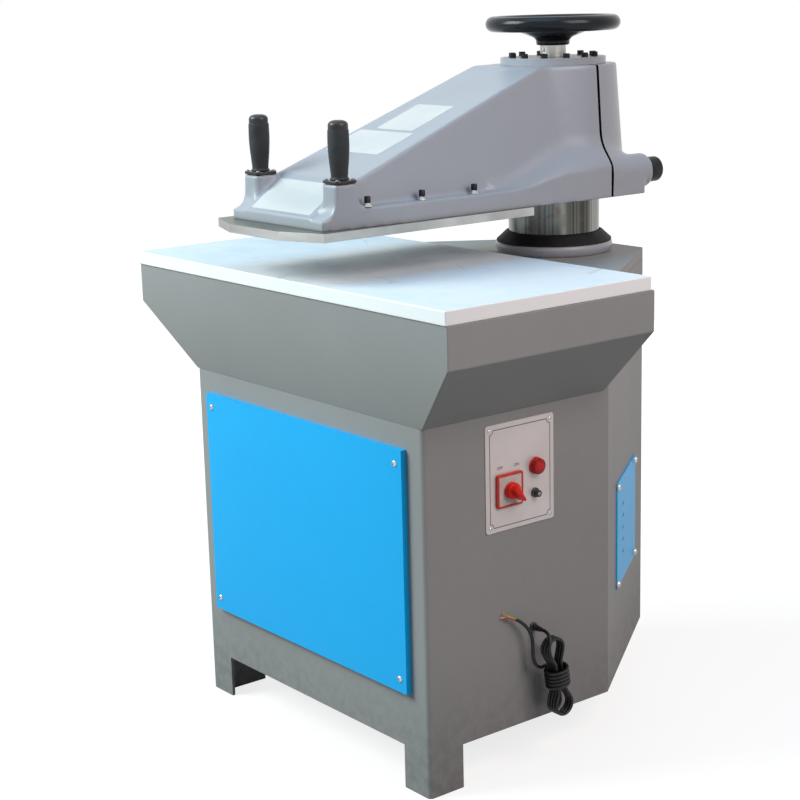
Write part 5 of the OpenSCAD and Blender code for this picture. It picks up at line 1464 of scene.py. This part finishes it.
def allScrews(s):
    along = (Vector(s["wingEnd"]) - Vector(s["wingStart"])).normalized()
    out = Vector((along.y, -along.x))
    panel = [((side*s["frontX"], s["frontFace"], z), (0, -1, 0)) for side in (-1, 1) for z in s["frontZ"]]
    placeScrews("panelScrews", panel, fastenerSteel, "base", "bright_steel", "panel_screws")
    vent = []
    for run in s["wingS"]:
        foot = Vector(s["wingStart"]) + along*run + out*s["wingProud"]
        vent += [((foot.x, foot.y, z), (out.x, out.y, 0)) for z in s["wingZ"]]
    placeScrews("ventScrews", vent, fastenerSteel, "base", "bright_steel")
    plate = [((s["plateX"], y, z), (1, 0, 0)) for y in s["plateY"] for z in s["plateZ"]]
    placeScrews("plateScrews", plate, fastenerSteel, "base", "bright_steel")
    grip = [((side*x, y, s["gripZ"]), (0, 0, 1)) for side in (-1, 1) for x in s["gripX"] for y in s["gripY"]]
    placeScrews("gripScrews", grip, dulledZinc, "arm", "bright_steel", "grip_screws")
    cap = []
    for i in range(s["capCount"]):
        a = math.radians(s["capTurn"] + 360*i/s["capCount"])
        cap.append(((s["capRadius"]*math.cos(a), s["capRadius"]*math.sin(a), s["capTop"]), (0, 0, 1)))
    placeScrews("capScrews", cap, blackSteel, "arm", "black_steel", "cap_screws")


allScrews(screwSeats)


# Studio: pale floor, white surroundings, a soft key from the front left, a blue light from above, a weak
# warm fill from the right and a plain lamp behind that gloss doesn't show

studio = {
    "floor": 6.0, "floorColour": (0.28, 0.275, 0.27, 1.0), "floorRough": 0.9, "floorLift": (0.80, 1.0),
    "liftReach": (0.8, 2.6), "around": (1.0, 0.99, 0.98, 1.0), "aroundLevel": 0.09,
    "lamps": [
        {"name": "keyLamp", "place": (-1.9, -3.4, 3.2), "aim": (0.0, -0.3, 0.75), "size": 2.4, "power": 226.0,
         "colour": (0.89, 1.0, 0.99)},
        {"name": "topLamp", "place": (0.2, -1.2, 3.9), "aim": (0.0, -0.3, 0.9), "size": 2.2, "power": 40.0,
         "colour": (0.22, 0.62, 1.0)},
        {"name": "sideLamp", "place": (2.6, 0.0, 2.6), "aim": (0.2, -0.2, 0.6), "size": 1.8, "power": 60.0,
         "colour": (1.0, 0.88, 0.86)},
        {"name": "rearLamp", "place": (-2.4, 2.6, 1.0), "aim": (0.0, 0.0, 0.7), "size": 2.0, "power": 48.0,
         "colour": (1.0, 1.0, 1.0), "inGloss": False},
    ],
}


# One for rays that show the background: from the camera, off metal and through glass
def seenDirectly(tree):
    path = tree.nodes.new("ShaderNodeLightPath")
    seen = Wire(tree, path.outputs["Is Camera Ray"])
    for kind in ("Is Glossy Ray", "Is Transmission Ray"):
        seen = seen.maths("MAXIMUM", seen, Wire(tree, path.outputs[kind]))
    return seen


def makeSurroundings(s):
    world = bpy.data.worlds.new("studioWorld")
    bpy.context.scene.world = world
    world.use_nodes = True
    tree = world.node_tree
    tree.nodes.clear()
    seen = seenDirectly(tree)
    lit = seen.node("ShaderNodeBackground", {}, {"Color": s["around"], "Strength": s["aroundLevel"]})
    white = seen.node("ShaderNodeBackground", {}, {"Color": (1, 1, 1, 1), "Strength": 1.0})
    shown = seen.node("ShaderNodeMixShader", {}, {0: seen, 1: lit, 2: white})
    tree.links.new(shown.socket, tree.nodes.new("ShaderNodeOutputWorld").inputs["Surface"])


def makeFloor(s):
    paint = bpy.data.materials.new("paleFloor")
    paint.use_nodes = True
    tree = paint.node_tree
    shader = tree.nodes["Principled BSDF"]
    shader.inputs["Base Color"].default_value = s["floorColour"]
    shader.inputs["Roughness"].default_value = s["floorRough"]
    shader.inputs["Specular IOR Level"].default_value = 0.0
    shader.inputs["Emission Color"].default_value = (1, 1, 1, 1)
    place = Wire(tree, tree.nodes.new("ShaderNodeTexCoord").outputs["Object"])
    away = place.node("ShaderNodeVectorMath", {"operation": "LENGTH"}, {0: place}, 1)
    feed(shader, {"Emission Strength": seenDirectly(tree)*away.between(*s["liftReach"], *s["floorLift"])})
    half = s["floor"]
    corners = [(-half, -half, 0), (half, -half, 0), (half, half, 0), (-half, half, 0)]
    mesh = bpy.data.meshes.new("paleFloor")
    mesh.from_pydata(corners, [], [(0, 1, 2, 3)])
    mesh.materials.append(paint)
    floor = bpy.data.objects.new("paleFloor", mesh)
    bpy.context.scene.collection.objects.link(floor)


def makeLamps(s):
    for lamp in s["lamps"]:
        data = bpy.data.lights.new(lamp["name"], "AREA")
        data.energy = lamp["power"]
        data.size = lamp["size"]
        data.color = lamp["colour"]
        light = bpy.data.objects.new(lamp["name"], data)
        away = Vector(lamp["place"]) - Vector(lamp["aim"])
        turn = away.to_track_quat("Z", "Y").to_matrix().to_4x4()
        light.matrix_world = Matrix.Translation(lamp["place"]) @ turn
        light.visible_glossy = lamp.get("inGloss", True)
        bpy.context.scene.collection.objects.link(light)


makeSurroundings(studio)
makeFloor(studio)
makeLamps(studio)
bpy.context.scene.view_settings.view_transform = "Standard"
print("studio lit")

bpy.context.view_layer.update()
